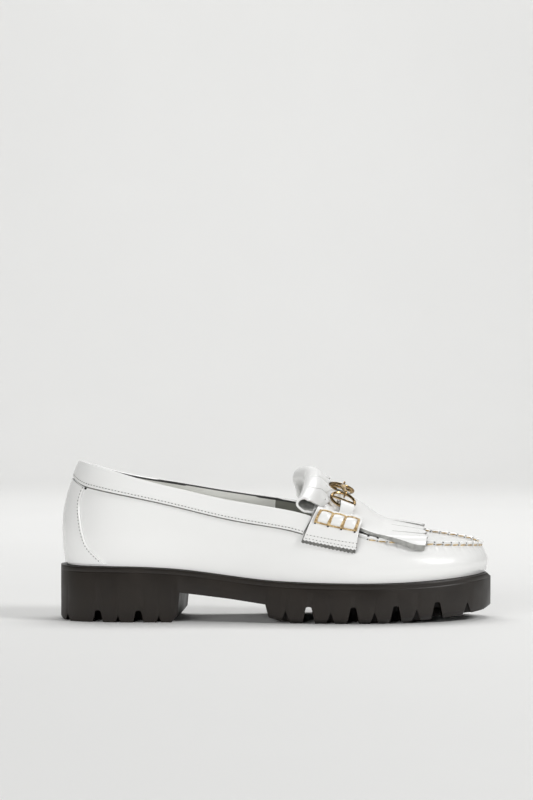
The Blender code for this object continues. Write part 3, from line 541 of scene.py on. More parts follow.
def make_finish(name, finish):
    made = bpy.data.materials.new(name)
    made.use_nodes = True
    tree = made.node_tree
    shader = tree.nodes["Principled BSDF"]
    place = new_node(tree, "ShaderNodeTexCoord").outputs["Object"]
    drift = new_node(tree, "ShaderNodeGroup", node_tree=DRIFT)
    drift.inputs["Clouds per metre"].default_value = finish.clouds
    tree.links.new(place, drift.inputs["Place"])
    tone = new_node(tree, "ShaderNodeMix", data_type="RGBA")
    colours = [s for s in tone.inputs if s.type == "RGBA"]
    colours[0].default_value = (*finish.dark, 1)
    colours[1].default_value = (*finish.light, 1)
    tree.links.new(drift.outputs["Value"], tone.inputs["Factor"])
    tree.links.new(next(s for s in tone.outputs if s.type == "RGBA"), shader.inputs["Base Color"])
    rough = new_node(tree, "ShaderNodeMapRange")
    rough.inputs["To Min"].default_value = finish.rough_low
    rough.inputs["To Max"].default_value = finish.rough_high
    tree.links.new(drift.outputs["Value"], rough.inputs["Value"])
    tree.links.new(rough.outputs["Result"], shader.inputs["Roughness"])
    if finish.cells:
        height = new_node(tree, "ShaderNodeGroup", node_tree=GRAIN)
        height.inputs["Cells per metre"].default_value = finish.cells
        tree.links.new(place, height.inputs["Place"])
        high = height.outputs["Height"]
    else:
        height = new_node(tree, "ShaderNodeTexNoise")
        height.inputs["Scale"].default_value = FINE_NOISE
        tree.links.new(place, height.inputs["Vector"])
        high = height.outputs["Fac"]
    bump = new_node(tree, "ShaderNodeBump")
    bump.inputs["Distance"].default_value = finish.bump_mm * MM
    tree.links.new(high, bump.inputs["Height"])
    tree.links.new(bump.outputs["Normal"], shader.inputs["Normal"])
    shader.inputs["Metallic"].default_value = finish.metallic
    shader.inputs["Coat Weight"].default_value = finish.coat
    shader.inputs["Coat Roughness"].default_value = COAT_ROUGH
    shader.inputs["Sheen Weight"].default_value = finish.sheen
    made.diffuse_color = (*finish.light, 1)
    return made


FINISH = {name: make_finish(name, row) for name, row in FINISHES.items()}
print("finishes:", ", ".join(FINISH))

# %% [markdown]
# ## Stitches by Geometry Nodes
#
# A seam is one short shape repeated along a line, which is what Geometry Nodes are for. The
# tree takes a line that carries the direction out of the leather, spaces points along it, sets
# a small rounded stitch on each, turned along the line and tipped by a slant, and realizes
# them with their thread. A steep slant and a close spacing make the same tree lay a twisted
# cord. The result is kept as a plain mesh.

# %% The stitch tree


def stitch_tree():
    tree = bpy.data.node_groups.new("Stitches along a line", "GeometryNodeTree")
    ports = tree.interface
    ports.new_socket("Line", in_out="INPUT", socket_type="NodeSocketGeometry")
    for name in ("Spacing", "Length", "Thickness", "Slant", "Jitter"):
        ports.new_socket(name, in_out="INPUT", socket_type="NodeSocketFloat")
    ports.new_socket("Own points", in_out="INPUT", socket_type="NodeSocketBool")
    ports.new_socket("Seed", in_out="INPUT", socket_type="NodeSocketInt")
    ports.new_socket("Thread", in_out="INPUT", socket_type="NodeSocketMaterial")
    ports.new_socket("Stitches", in_out="OUTPUT", socket_type="NodeSocketGeometry")
    given = new_node(tree, "NodeGroupInput")
    out = new_node(tree, "NodeGroupOutput")
    curve = new_node(tree, "GeometryNodeMeshToCurve")
    spaced = new_node(tree, "GeometryNodeResampleCurve", mode="LENGTH")
    chosen = new_node(tree, "GeometryNodeSwitch", input_type="GEOMETRY")
    ball = new_node(tree, "GeometryNodeMeshUVSphere")
    ball.inputs["Segments"].default_value = 8
    ball.inputs["Rings"].default_value = 5
    ball.inputs["Radius"].default_value = 0.5
    size = new_node(tree, "ShaderNodeCombineXYZ")
    shaped = new_node(tree, "GeometryNodeTransform")
    tangent = new_node(tree, "GeometryNodeInputTangent")
    out_of_leather = new_node(tree, "GeometryNodeInputNamedAttribute", data_type="FLOAT_VECTOR")
    out_of_leather.inputs["Name"].default_value = "out"
    along = new_node(tree, "FunctionNodeAlignRotationToVector", axis="X")
    upright = new_node(tree, "FunctionNodeAlignRotationToVector", axis="Z", pivot_axis="X")
    wobble = new_node(tree, "FunctionNodeRandomValue", data_type="FLOAT")
    less = new_node(tree, "ShaderNodeMath", operation="MULTIPLY")
    less.inputs[1].default_value = -1
    lean = new_node(tree, "ShaderNodeMath", operation="ADD")
    turn = new_node(tree, "ShaderNodeCombineXYZ")
    tip = new_node(tree, "FunctionNodeEulerToRotation")
    tipped = new_node(tree, "FunctionNodeRotateRotation", rotation_space="LOCAL")
    placed = new_node(tree, "GeometryNodeInstanceOnPoints")
    real = new_node(tree, "GeometryNodeRealizeInstances")
    smooth = new_node(tree, "GeometryNodeSetShadeSmooth")
    coloured = new_node(tree, "GeometryNodeSetMaterial")
    wire(
        tree,
        (given, "Line", curve, "Mesh"),
        (curve, "Curve", spaced, "Curve"),
        (given, "Spacing", spaced, "Length"),
        (given, "Own points", chosen, "Switch"),
        (spaced, "Curve", chosen, "False"),
        (curve, "Curve", chosen, "True"),
        (given, "Length", size, "X"),
        (given, "Thickness", size, "Y"),
        (given, "Thickness", size, "Z"),
        (ball, "Mesh", shaped, "Geometry"),
        (size, "Vector", shaped, "Scale"),
        (tangent, "Tangent", along, "Vector"),
        (along, "Rotation", upright, "Rotation"),
        (out_of_leather, "Attribute", upright, "Vector"),
        (given, "Jitter", less, 0),
        (given, "Seed", wobble, "Seed"),
        (given, "Slant", lean, 0),
        (lean, 0, turn, "Z"),
        (turn, "Vector", tip, "Euler"),
        (upright, "Rotation", tipped, "Rotation"),
        (tip, "Rotation", tipped, "Rotate By"),
        (chosen, "Output", placed, "Points"),
        (shaped, "Geometry", placed, "Instance"),
        (tipped, "Rotation", placed, "Rotation"),
        (placed, "Instances", real, "Geometry"),
        (real, "Geometry", smooth, "Geometry"),
        (smooth, "Geometry", coloured, "Geometry"),
        (given, "Thread", coloured, "Material"),
        (coloured, "Geometry", out, "Stitches"),
    )
    lowest, highest = (s for s in wobble.inputs if s.type == "VALUE" and s.enabled)
    tree.links.new(less.outputs[0], lowest)
    tree.links.new(given.outputs["Jitter"], highest)
    tree.links.new(next(s for s in wobble.outputs if s.enabled), lean.inputs[1])
    return tree


STITCHES = stitch_tree()
Thread = namedtuple("Thread", "finish spacing length thickness slant jitter")


def sew(name, lines, thread, own_points=False, seed=1):
    """Stitches along lines, each a pair of points and directions out of the leather, in one piece."""
    points, outs, edges = [], [], []
    for row, out in lines:
        start = len(points)
        points += list(row)
        outs += list(out)
        edges += [(start + i, start + i + 1) for i in range(len(row) - 1)]
    mesh = bpy.data.meshes.new(f"{name} line")
    mesh.from_pydata(((np.array(points) - ORIGIN) * MM).tolist(), edges, [])
    mesh.attributes.new("out", "FLOAT_VECTOR", "POINT")
    mesh.attributes["out"].data.foreach_set("vector", np.array(outs, np.float32).ravel())
    piece = bpy.data.objects.new(name, mesh)
    bpy.context.scene.collection.objects.link(piece)
    modifier = piece.modifiers.new("stitches", "NODES")
    modifier.node_group = STITCHES
    values = {
        "Spacing": thread.spacing * MM,
        "Length": thread.length * MM,
        "Thickness": thread.thickness * MM,
        "Slant": math.radians(thread.slant),
        "Jitter": math.radians(thread.jitter),
        "Own points": own_points,
        "Seed": seed,
        "Thread": FINISH[thread.finish],
    }
    for item in STITCHES.interface.items_tree:
        if item.in_out == "INPUT" and item.name in values:
            modifier[item.identifier] = values[item.name]
    settle(piece)
    for attribute in [a for a in piece.data.attributes if a.name == "out"]:
        piece.data.attributes.remove(attribute)
    return put_on(piece)


# %% [markdown]
# ## The rubber sole
#
# The sole is one moulding: a heel block, a thin waist and a thick forefoot, with a shallow rib
# line under its top edge and notches that leave lugs. A mould can't make a sharp edge, so after
# the notches are cut every edge is rounded. The cuts are the same bars and channels that the
# CAD solid has, made here with finer steps.

# %% Sole
Tread = namedtuple("Tread", "x z edge_rise edge_inset")
TREAD = (
    Tread(-1.0, 3.0, 1.0, 1.0),
    Tread(2.5, 0.4, 0.6, 0.8),
    Tread(6.0, 0.0, 0.6, 0.8),
    Tread(68.5, 0.0, 0.6, 0.8),
    Tread(72.2, 5.0, 1.0, 1.2),
    Tread(73.4, 17.8, 0.8, 0.8),
    Tread(104.0, 14.2, 0.8, 0.8),
    Tread(124.6, 11.2, 0.8, 0.8),
    Tread(126.6, 3.4, 2.6, 3.6),
    Tread(133.5, 1.2, 2.8, 4.4),
    Tread(140.0, 0.0, 3.0, 5.0),
    Tread(188.0, 0.0, 3.0, 5.0),
    Tread(206.0, 0.8, 3.0, 5.0),
    Tread(232.0, 2.9, 3.0, 4.6),
    Tread(257.0, 6.0, 2.4, 3.6),
    Tread(263.0, 8.6, 1.4, 2.4),
)
BREAST, BREAST_SKEW, BREAST_BLEND = 73.4, 4.0, 26.0
TOE_BEVEL, TOE_BEVEL_LONG = 2.6, 3.4
SIDE_TAPER = 0.6
SOLE_STEP, SOLE_CLOSEST, STEADY_FROM, STEADY_TO = 2.5, 0.15, 8.0, 7.0
SOLE_ROUND, SOLE_ROUND_ANGLE = 0.45, 38
END_STEPS = np.array([0.08, 0.3, 0.7, 1.3, 2.2, 3.4, 4.8, 6.4])
END_SHARE = 0.3

# The side from the top down: how far in from the edge, and how far below the top
Side = namedtuple("Side", "inset drop")
SIDE_PROFILE = (
    Side(1.1, 0.0),
    Side(0.55, 0.14),
    Side(0.17, 0.48),
    Side(0.0, 1.1),
    Side(0.0, 2.6),
    Side(0.08, 2.85),
    Side(0.28, 3.2),
    Side(0.08, 3.55),
    Side(0.0, 3.8),
)
Notch = namedtuple("Notch", "height wide narrow reach")
HEEL_NOTCH = Notch(7.2, 6.6, 3.4, 17.0)
HEEL_NICK = Notch(3.8, 3.2, 0.5, 8.0)
FORE_NOTCH = Notch(10.2, 7.6, 3.4, 21.0)
FORE_NICK = Notch(6.8, 5.4, 0.5, 10.0)
CENTRE_NOTCH = Notch(5.0, 5.0, 3.6, 0.0)
NOTCH_ROWS = (
    (HEEL_NOTCH, (24.4, 48.8)),
    (HEEL_NICK, (5.6, 36.6, 61.0)),
    (FORE_NOTCH, (176.8, 202.2, 227.2)),
    (FORE_NICK, (136.6, 163.4, 189.4, 214.6, 246.0)),
)
THROUGH_NOTCH = 150.4
CENTRE_NOTCHES = (36.6, 163.4, 189.4, 214.6)
CUT_BELOW, CUT_OUTSIDE, NOTCH_FLAT = 3.0, 6.0, 0.5
CHANNEL_WIDTH, CHANNEL_DEPTH = 4.0, 5.0
Channel = namedtuple("Channel", "start end inset")
CHANNELS = (Channel(14.0, 60.0, 15.5), Channel(143.0, 236.0, 19.5))


def edge_y(x, side):
    return np.interp(x, OUTLINE[side][:, 0], OUTLINE[side][:, 1])


def tread_at(x, column):
    return np.interp(x, [row.x for row in TREAD], [getattr(row, column) for row in TREAD])


def sole_section(x):
    """One slice of the sole: down the lateral side, across the tread and up the medial side."""
    skew = BREAST_SKEW * (1 - ramp(abs(x - BREAST), 0, BREAST_BLEND))
    half = (edge_y(x, "medial") - edge_y(x, "lateral")) / 2
    slim = min(1.0, END_SHARE * half / SIDE_PROFILE[0].inset)
    found = []
    for side, inward in (("lateral", 1), ("medial", -1)):
        at_x = x + (skew if side == "medial" else 0)
        y = edge_y(at_x, side)
        top = sole_top(at_x) - TOE_BEVEL * ramp(x, SOLE_END - TOE_BEVEL_LONG, SOLE_END)
        low = tread_at(x, "z")
        inset = min(tread_at(x, "edge_inset"), END_SHARE * half)
        profile = [(row.inset * slim, top - row.drop) for row in SIDE_PROFILE]
        profile.append((min(SIDE_TAPER, END_SHARE * half), low + tread_at(x, "edge_rise")))
        profile.append((inset, low))
        points = [(at_x, y + inward * shift, z) for shift, z in profile]
        found += points if side == "lateral" else points[::-1]
    return np.array(found)


def notch_shape(notch, x, y_from, y_to):
    """A bar across the sole with the outline of a notch, rounded at its top."""
    low = tread_at(x, "z")
    spread = (notch.wide - notch.narrow) / 2 / notch.height
    foot = notch.wide / 2 + spread * CUT_BELOW
    top, half = low + notch.height, notch.narrow / 2
    outline = [(-foot, low - CUT_BELOW), (foot, low - CUT_BELOW)]
    for angle in np.linspace(0, np.pi, 7):
        outline.append((half * math.cos(angle), top - NOTCH_FLAT * half * (1 - math.sin(angle))))
    return loft([[(x + px, y, pz) for px, pz in outline] for y in (y_from, y_to)])


def cut(piece, name, shape):
    tool = add_piece(name, *shape, [])
    modifier = piece.modifiers.new(name, "BOOLEAN")
    modifier.operation = "DIFFERENCE"
    modifier.solver = "EXACT"
    modifier.object = tool
    settle(piece)
    bpy.data.objects.remove(tool, do_unlink=True)


def make_sole():
    stations = np.concatenate(
        [
            SOLE_START + END_STEPS,
            np.arange(SOLE_START + STEADY_FROM, SOLE_END - STEADY_TO, SOLE_STEP),
            SOLE_END - END_STEPS,
            [row.x for row in TREAD if SOLE_START + 1 < row.x < SOLE_END - 1],
        ]
    )
    stations = np.unique(np.round(stations, 2))
    stations = stations[np.concatenate([[True], np.diff(stations) > SOLE_CLOSEST])]
    shape = loft([sole_section(x) for x in stations])
    sole = add_piece("sole_rubber", *shape, ["brown_rubber"])
    bars = []
    for notch, places in NOTCH_ROWS:
        for x in places:
            lateral, medial = edge_y(x, "lateral"), edge_y(x, "medial")
            bars.append(notch_shape(notch, x, lateral - CUT_OUTSIDE, lateral + notch.reach))
            bars.append(notch_shape(notch, x, medial - notch.reach, medial + CUT_OUTSIDE))
    lateral, medial = edge_y(THROUGH_NOTCH, "lateral"), edge_y(THROUGH_NOTCH, "medial")
    bars.append(
        notch_shape(FORE_NOTCH, THROUGH_NOTCH, lateral - CUT_OUTSIDE, medial + CUT_OUTSIDE)
    )
    cut(sole, "lug notches", join_shapes(*bars))
    bars = []
    for x in CENTRE_NOTCHES:
        inset = CHANNELS[x > BREAST].inset + CHANNEL_WIDTH / 2
        bars.append(
            notch_shape(CENTRE_NOTCH, x, edge_y(x, "lateral") + inset, edge_y(x, "medial") - inset)
        )
    cut(sole, "centre notches", join_shapes(*bars))
    for channel in CHANNELS:
        for side, inward in (("lateral", 1), ("medial", -1)):
            sections = []
            for x in np.linspace(channel.start, channel.end, 21):
                y = edge_y(x, side) + inward * channel.inset
                low = tread_at(x, "z")
                corners = ((0, -CUT_BELOW), (CHANNEL_WIDTH, -CUT_BELOW))
                corners += ((CHANNEL_WIDTH, CHANNEL_DEPTH), (0, CHANNEL_DEPTH))
                sections.append([(x, y + inward * across, low + up) for across, up in corners])
            cut(sole, f"channel {side} {channel.start:.0f}", loft(sections))
    round_edges(sole, SOLE_ROUND, angle=SOLE_ROUND_ANGLE)
    return put_on(sole, "outsole", slot="brown_rubber")


make_sole()

# %% [markdown]
# ## The sock inside
#
# A thin sock covers the insole board, and the foot stands on it. Its edge turns up a little
# where it meets the wall, so the middle is a shallow dish. It is a plain sheet between two
# grids that follow the feather line.

# %% Insole
INSOLE_THICK, INSOLE_DISH, DISH_POWER = 3.0, 0.5, 0.6
INSOLE_ROWS, INSOLE_COLUMNS, INSOLE_ENDS = 90, 31, 0.05


def make_insole():
    edge = level_outline(lambda x: -(WALL + 2 * GAP))
    start, end = edge["lateral"][0, 0], edge["lateral"][-1, 0]
    xs = start + (end - start) * eased(INSOLE_ROWS, INSOLE_ENDS)
    sides = [np.interp(xs, edge[s][:, 0], edge[s][:, 1]) for s in SIDES]
    across = eased(INSOLE_COLUMNS)
    ys = blend(sides[0][:, None], sides[1][:, None], across)
    low = sole_top(xs)[:, None] + GAP + np.zeros_like(ys)
    dish = INSOLE_DISH * np.sin(np.pi * across) ** DISH_POWER
    grid_x = np.broadcast_to(xs[:, None], ys.shape)
    top = np.stack([grid_x, ys, low + INSOLE_THICK - dish], axis=-1)
    bottom = np.stack([grid_x, ys, low], axis=-1)
    points, faces, _ = sheet(top, bottom)
    sock = add_piece("insole_sock", points, faces, ["grey_lining"])
    return put_on(sock, "insole", slot="grey_lining")


make_insole()

# %% [markdown]
# ## The upper
#
# A moccasin's wall comes up from under the foot and is sewn to the apron in a raised ridge. The
# wall is longer than the apron's edge, so at the toe it is gathered: between two stitches the
# leather puffs out, and at each stitch it is pulled in. That is made here by moving the points:
# a pinch function measures the distance to the nearest stitch along the seam and draws the
# ridge and the top of the wall in. The lasting also leaves a few soft troughs, listed in a
# short table.

# %% Gathered seam and lasting marks
SEAM_RISE, SEAM_LOW, SEAM_WIDTH = 2.6, 0.5, 2.2
SEAM_STARTS, SEAM_FULL = 160.0, 184.0
PITCH = 6.0
PINCH_WIDE, PINCH_DIP, PINCH_PULL, PINCH_FADE = 0.95, 0.42, 0.6, 2.4
GATHER_FROM, GATHER_FULL = 180.0, 204.0
THROAT_BLEND = (THROAT - 3, THROAT + 7)
TOE_BLEND = 250.0
UNDER_BAND = 1.7

# The ridge from the wall's top over to the apron: share of its width, share of its height
Ridge = namedtuple("Ridge", "across up")
RIDGE = (
    Ridge(-0.04, 0.28),
    Ridge(-0.05, 0.55),
    Ridge(0.01, 0.80),
    Ridge(0.12, 0.96),
    Ridge(0.28, 1.03),
    Ridge(0.46, 1.03),
    Ridge(0.64, 0.95),
    Ridge(0.80, 0.76),
    Ridge(0.91, 0.48),
    Ridge(0.98, 0.15),
    Ridge(1.02, -0.25),
)

# Soft troughs left by lasting: middle, half length and half width, lean in degrees, depth
Trough = namedtuple("Trough", "side x z long wide lean depth")
TROUGHS = (
    Trough("lateral", 196.0, 37.0, 15.0, 3.4, 24.0, 0.30),
    Trough("lateral", 210.0, 36.0, 12.0, 3.0, 10.0, 0.22),
    Trough("lateral", 122.0, 44.0, 26.0, 5.0, -8.0, 0.28),
    Trough("lateral", 62.0, 52.0, 22.0, 7.0, -14.0, 0.22),
    Trough("medial", 194.0, 39.0, 15.0, 3.4, 20.0, 0.30),
    Trough("medial", 212.0, 38.0, 12.0, 3.0, 8.0, 0.22),
    Trough("medial", 118.0, 46.0, 26.0, 5.0, -8.0, 0.28),
    Trough("medial", 60.0, 52.0, 22.0, 7.0, -14.0, 0.22),
)

ROUND_THE_SHOE = np.linspace(0, 1, 4001)
seam_lengths = lengths(LOOP(ROUND_THE_SHOE)[:, 2:5])
seam_lengths -= np.interp(TOE_TURN, ROUND_THE_SHOE, seam_lengths)


def seam_reach(turn):
    """The length along the seam from the toe, below 0 on the lateral side."""
    return np.interp(np.asarray(turn) % 1.0, ROUND_THE_SHOE, seam_lengths)


def pinch(turn):
    """1 at a stitch of the moccasin seam, falling to 0 between two stitches."""
    off = seam_reach(turn) / PITCH
    off = (off - np.round(off)) * PITCH
    gathered = ramp(LOOP(turn)[..., 2], GATHER_FROM, GATHER_FULL)
    return np.exp(-((off / PINCH_WIDE) ** 2)) * gathered


def seam_rise(x):
    return SEAM_LOW + (SEAM_RISE - SEAM_LOW) * ramp(x, SEAM_STARTS, SEAM_FULL)


def top_share(turn):
    """How far up the wall goes: to the seam in front, and to just under the folded band behind."""
    behind = 1 - ramp(LOOP(turn)[..., 2], *THROAT_BLEND)
    return 1 - behind * UNDER_BAND / wall_height(turn)


def seam_frame(turn):
    """The wall's top, the ridge's foot on the apron, and the way that the ridge stands up."""
    x = LOOP(turn)[..., 2]
    share = top_share(turn)
    top = wall(turn, share)
    front = ramp(x, *THROAT_BLEND)[..., None]
    inside = top - outward(turn) * SEAM_WIDTH
    sides = [LOOP(turn_at(inside[..., 0], side))[..., 3] for side in SIDES]
    t = np.clip((inside[..., 1] - sides[0]) / (sides[1] - sides[0]), 0, 1)
    foot = blend(wall(turn, share, -WALL), crown(inside[..., 0], t), front)
    out = wall(turn, 1.0, 1.0) - wall(turn, 1.0)
    ups = []
    for side, t in (("lateral", 0.0), ("medial", 1.0)):
        at_x = np.minimum(x, TOE_BLEND)
        ups.append(crown(at_x, t, 1.0) - crown(at_x, t))
    over_toe = ramp(turn, turn_at(TOE_BLEND, "lateral"), turn_at(TOE_BLEND, "medial"))[..., None]
    stands = unit(out + blend(ups[0], ups[1], over_toe))
    return top, foot, unit(blend(np.array([0.0, 0.0, 1.0]), stands, front))


def ridge_point(turn, across, up):
    """A point on the ridge, drawn in at the stitches."""
    top, foot, stands = seam_frame(turn)
    drawn = pinch(turn)[..., None]
    high = seam_rise(top[..., :1]) * up * (1 - PINCH_DIP * drawn * (up > 0))
    pulled = -outward(turn) * PINCH_PULL * drawn * max(0.0, 1 - across)
    return blend(top, foot, across) + stands * high + pulled


def wall_marks(turn, w):
    """How far gathers and lasting marks move the wall along its normal."""
    below = (1 - w) * wall_height(turn)
    moved = -PINCH_PULL * pinch(turn) * np.exp(-below / PINCH_FADE)
    place = wall(turn, w)
    lateral = np.asarray(turn) % 1.0 < TOE_TURN
    for mark in TROUGHS:
        lean = math.radians(mark.lean)
        dx, dz = place[..., 0] - mark.x, place[..., 2] - mark.z
        along = (dx * math.cos(lean) + dz * math.sin(lean)) / mark.long
        aside = (dz * math.cos(lean) - dx * math.sin(lean)) / mark.wide
        here = lateral if mark.side == "lateral" else ~lateral
        moved = moved - here * mark.depth * np.exp(-(along**2) - aside**2)
    return moved


# %% [markdown]
# The wall is one closed strip right round the shoe. Each of its sections climbs the outside,
# rolls over the ridge or the topline, and goes down the inside, where it wears the lining. From
# 131 mm forward that lining, and the apron's back, are near black: painted shade for the shade
# deep inside the toe. The apron is a second sheet whose edges are tucked under the ridge, as
# they are on the real shoe.

# %% Upper
TURN_COUNT = 620
OUTER_ROWS, OUTER_POWER, INNER_ROWS, INNER_TOP = 30, 0.9, 9, 0.985
GATHER_LEAD, GATHER_WEIGHT = 10.0, 1.6
APRON_END, APRON_ROWS, APRON_COLUMNS, APRON_POWER = 255.6, 110, 61, 1.1
APRON_TUCK, APRON_TUCK_MOST, APRON_DIP = 0.45, 0.3, 0.4
# From this x forward the lining is near black: painted shade for the shade inside the toe
LINING_SHADE_FROM = 131.0


def make_upper():
    even = np.linspace(0, 1, 3000)
    place = LOOP(even)[:, 2]
    weight = 1 + GATHER_WEIGHT * ramp(place, GATHER_FROM - GATHER_LEAD, GATHER_FULL)
    steps = np.diff(np.interp(even, ROUND_THE_SHOE, seam_lengths))
    reach = np.concatenate([[0], np.cumsum((weight[1:] + weight[:-1]) / 2 * steps)])
    turns = np.interp(np.linspace(0, reach[-1], TURN_COUNT, endpoint=False), reach, even)
    share = top_share(turns)
    outer = np.sin(np.linspace(0, np.pi / 2, OUTER_ROWS)) ** OUTER_POWER
    inner = np.linspace(INNER_TOP, 0, INNER_ROWS)
    rows = [wall(turns, w, wall_marks(turns, w)) for w in np.outer(outer, share)]
    rows += [ridge_point(turns, r.across, r.up) for r in RIDGE]
    rows += [wall(turns, w, -WALL) for w in np.outer(inner, share)]
    rows[-1][:, 2] = sole_top(rows[-1][:, 0]) + GAP
    strip = loft(np.array(rows).transpose(1, 0, 2), closed=True)
    outside = OUTER_ROWS + len(RIDGE) - 1
    per = len(rows)
    # Painted shade: from 131 mm forward the wall's inside, and further down the apron's back, take the
    # near-black lining for the shade inside the toe.
    inside = np.where(LOOP(turns)[:, 2] > LINING_SHADE_FROM, 2, 1)
    finish_of_face = [0 if i % per < outside else inside[i // per] for i in range(len(strip[1]))]
    xs = blend(THROAT, APRON_END, np.sin(np.linspace(0, np.pi / 2, APRON_ROWS)) ** APRON_POWER)
    width = LOOP(turn_at(xs, "medial"))[:, 3] - LOOP(turn_at(xs, "lateral"))[:, 3]
    tuck = np.minimum(APRON_TUCK * SEAM_WIDTH / width, APRON_TUCK_MOST)[:, None]
    ts = blend(tuck, 1 - tuck, np.linspace(0, 1, APRON_COLUMNS))
    grid_x = np.broadcast_to(xs[:, None], ts.shape)
    drawn = np.zeros_like(ts)
    for side, off in (("lateral", ts), ("medial", 1 - ts)):
        near = np.exp(-np.maximum(off * width[:, None] - SEAM_WIDTH, 0) / PINCH_FADE)
        drawn += pinch(turn_at(xs, side))[:, None] * near
    face = crown(grid_x, ts, -APRON_DIP * drawn)
    points, faces, parts = sheet(face, crown(grid_x, ts, -WALL))
    finish_of_face += [2 if part == 1 else 0 for part in parts]
    upper = add_piece(
        "upper_leather",
        *join_shapes(strip, (points, faces)),
        ["white_leather", "grey_lining", "vamp_lining"],
        finish_of_face,
    )
    return put_on(upper, "upper", slot="white_leather")


make_upper()

# %% [markdown]
# ## Thread of the moccasin seam
#
# One thick ochre thread runs through the ridge and shows on both of its sides: a long stitch
# between two holes, outside at the ridge's foot and again on the apron side. Each hole is a
# small near-black blob, painted shade for the shade inside it, and two rows of such blobs along
# the ridge's top are painted shade for the deep valleys between the gathers. Stitch and hole
# take their places from the same pitch as the gathers, so each hole falls in a pinch.

# %% Moccasin thread
SEAM_THREAD = Thread("gold_thread", PITCH, 4.9, 0.95, 4.0, 3.0)
# The holes and valleys are near-black blobs: painted shade.
SEAM_HOLE = Thread("dark_hole", PITCH, 1.0, 0.75, 0.0, 0.0)
VALLEY_SHADE = Thread("dark_hole", PITCH, 1.7, 0.75, 0.0, 0.0)
Row = namedtuple("Row", "across up off")
THREAD_ROWS = (Row(-0.02, 0.0, 0.30), Row(0.93, 0.34, 0.12))
VALLEY_ROWS = (Row(0.16, 1.02, 0.02), Row(0.55, 1.03, 0.0))
SEAM_SEWN_FROM = 181.0


def seam_lines(rows, phase):
    first = math.ceil(seam_reach(turn_at(SEAM_SEWN_FROM, "lateral")) / PITCH)
    last = math.floor(seam_reach(turn_at(SEAM_SEWN_FROM, "medial")) / PITCH)
    turns = np.interp((np.arange(first, last) + phase) * PITCH, seam_lengths, ROUND_THE_SHOE)
    lines = []
    for row in rows:
        points = ridge_point(turns, row.across, row.up)
        _, _, stands = seam_frame(turns)
        out = outward(turns) * (1 if row.across < 0.5 else -1)
        lines.append((points + unit(out + stands) * row.off, out))
    return lines


sew("moccasin_thread", seam_lines(THREAD_ROWS, 0.5), SEAM_THREAD, own_points=True)
sew("moccasin_holes", seam_lines(THREAD_ROWS, 0.0), SEAM_HOLE, own_points=True)
sew("moccasin_valleys", seam_lines(VALLEY_ROWS, 0.0), VALLEY_SHADE, own_points=True)

# %% [markdown]
# ## Tabs of the strap
#
# The strap's ends lie over the sides of the instep. Each is a stiff piece with its lower edge
# left raw and finely pinked, and two rows of stitches above that edge. Its cut edges are dark
# grey: partly the raw leather's colour and partly painted shade for the shadow along them. The
# tab's inner face is a spline from the wall, over the ridge, to the top of the kiltie.

# %% Tabs
TAB_THICK = 2.4
TAB_FOOT_X, TAB_FOOT_Z = (145.7, 177.9), (48.2, 41.4)
TAB_TOP_X, TAB_TOP_T = (154.0, 181.0), (0.06, 0.145)
TAB_SEAM_SHARE = (0.86, 0.46)
TAB_OVER_SEAM, TAB_OVER_SHARE = 2.5 * GAP, 0.55
TOOTH_PITCH, TOOTH_DEEP, TOOTH_TALL = 2.3, 0.026, 0.06
TAB_CHAMFER, TAB_BACK_EDGE, TAB_ROUND = 0.065, 0.028, 0.22
KILTIE_THICK = 1.5
Fold = namedtuple("Fold", "x lift edge")
BODY = (
    Fold(219.0, 4.0, -0.080),
    Fold(214.0, 4.0, -0.076),
    Fold(207.0, 3.9, -0.060),
    Fold(200.0, 3.8, -0.042),
    Fold(193.0, 3.7, -0.020),
    Fold(186.0, 3.7, 0.015),
    Fold(179.0, 3.3, 0.05),
    Fold(172.0, 2.5, 0.07),
    Fold(165.0, 1.8, 0.08),
    Fold(158.0, 1.4, 0.07),
)


def kiltie_top(x):
    lifts = BODY[::-1]
    return np.interp(x, [f.x for f in lifts], [f.lift for f in lifts]) + KILTIE_THICK / 2


def seam_normal(x, side):
    turn = turn_at(x, side)
    t = 0.0 if side == "lateral" else 1.0
    out = wall(turn, 1.0, 1.0) - wall(turn, 1.0)
    return unit(out + crown(x, t, 1.0) - crown(x, t))


def tab_face(side, along, up):
    """Points on a tab's inner face: along it from back to front, and up it from foot to top."""
    fold = (lambda t: t) if side == "lateral" else (lambda t: 1 - t)
    foot_x, top_x, top_t = (blend(*ends, along) for ends in (TAB_FOOT_X, TAB_TOP_X, TAB_TOP_T))
    seam_share = blend(*TAB_SEAM_SHARE, along)
    seam_x = blend(foot_x, top_x, seam_share)
    over_x = blend(foot_x, top_x, (1 + seam_share) / 2)
    row = LOOP(turn_at(foot_x, side))
    floor = sole_top(row[0]) + GAP
    raise_medial = 0.0 if side == "lateral" else row[4] - LOOP(turn_at(foot_x, "lateral"))[4]
    foot_w = (blend(*TAB_FOOT_Z, along) + raise_medial - floor) / (row[4] - floor)
    over_seam = seam_normal(seam_x, side) * (seam_rise(seam_x) + TAB_OVER_SEAM)
    knots = np.array(
        [
            wall(turn_on_wall(foot_x, foot_w, side), foot_w, OVERLAY_GAP),
            wall(turn_at(seam_x, side), 1.0) + over_seam,
            crown(over_x, fold(top_t * TAB_OVER_SHARE), kiltie_top(over_x) + 2 * GAP),
            crown(top_x, fold(top_t), kiltie_top(top_x) + 2 * GAP),
        ]
    )
    reach = lengths(knots)
    return spline(reach / reach[-1], knots)(up)


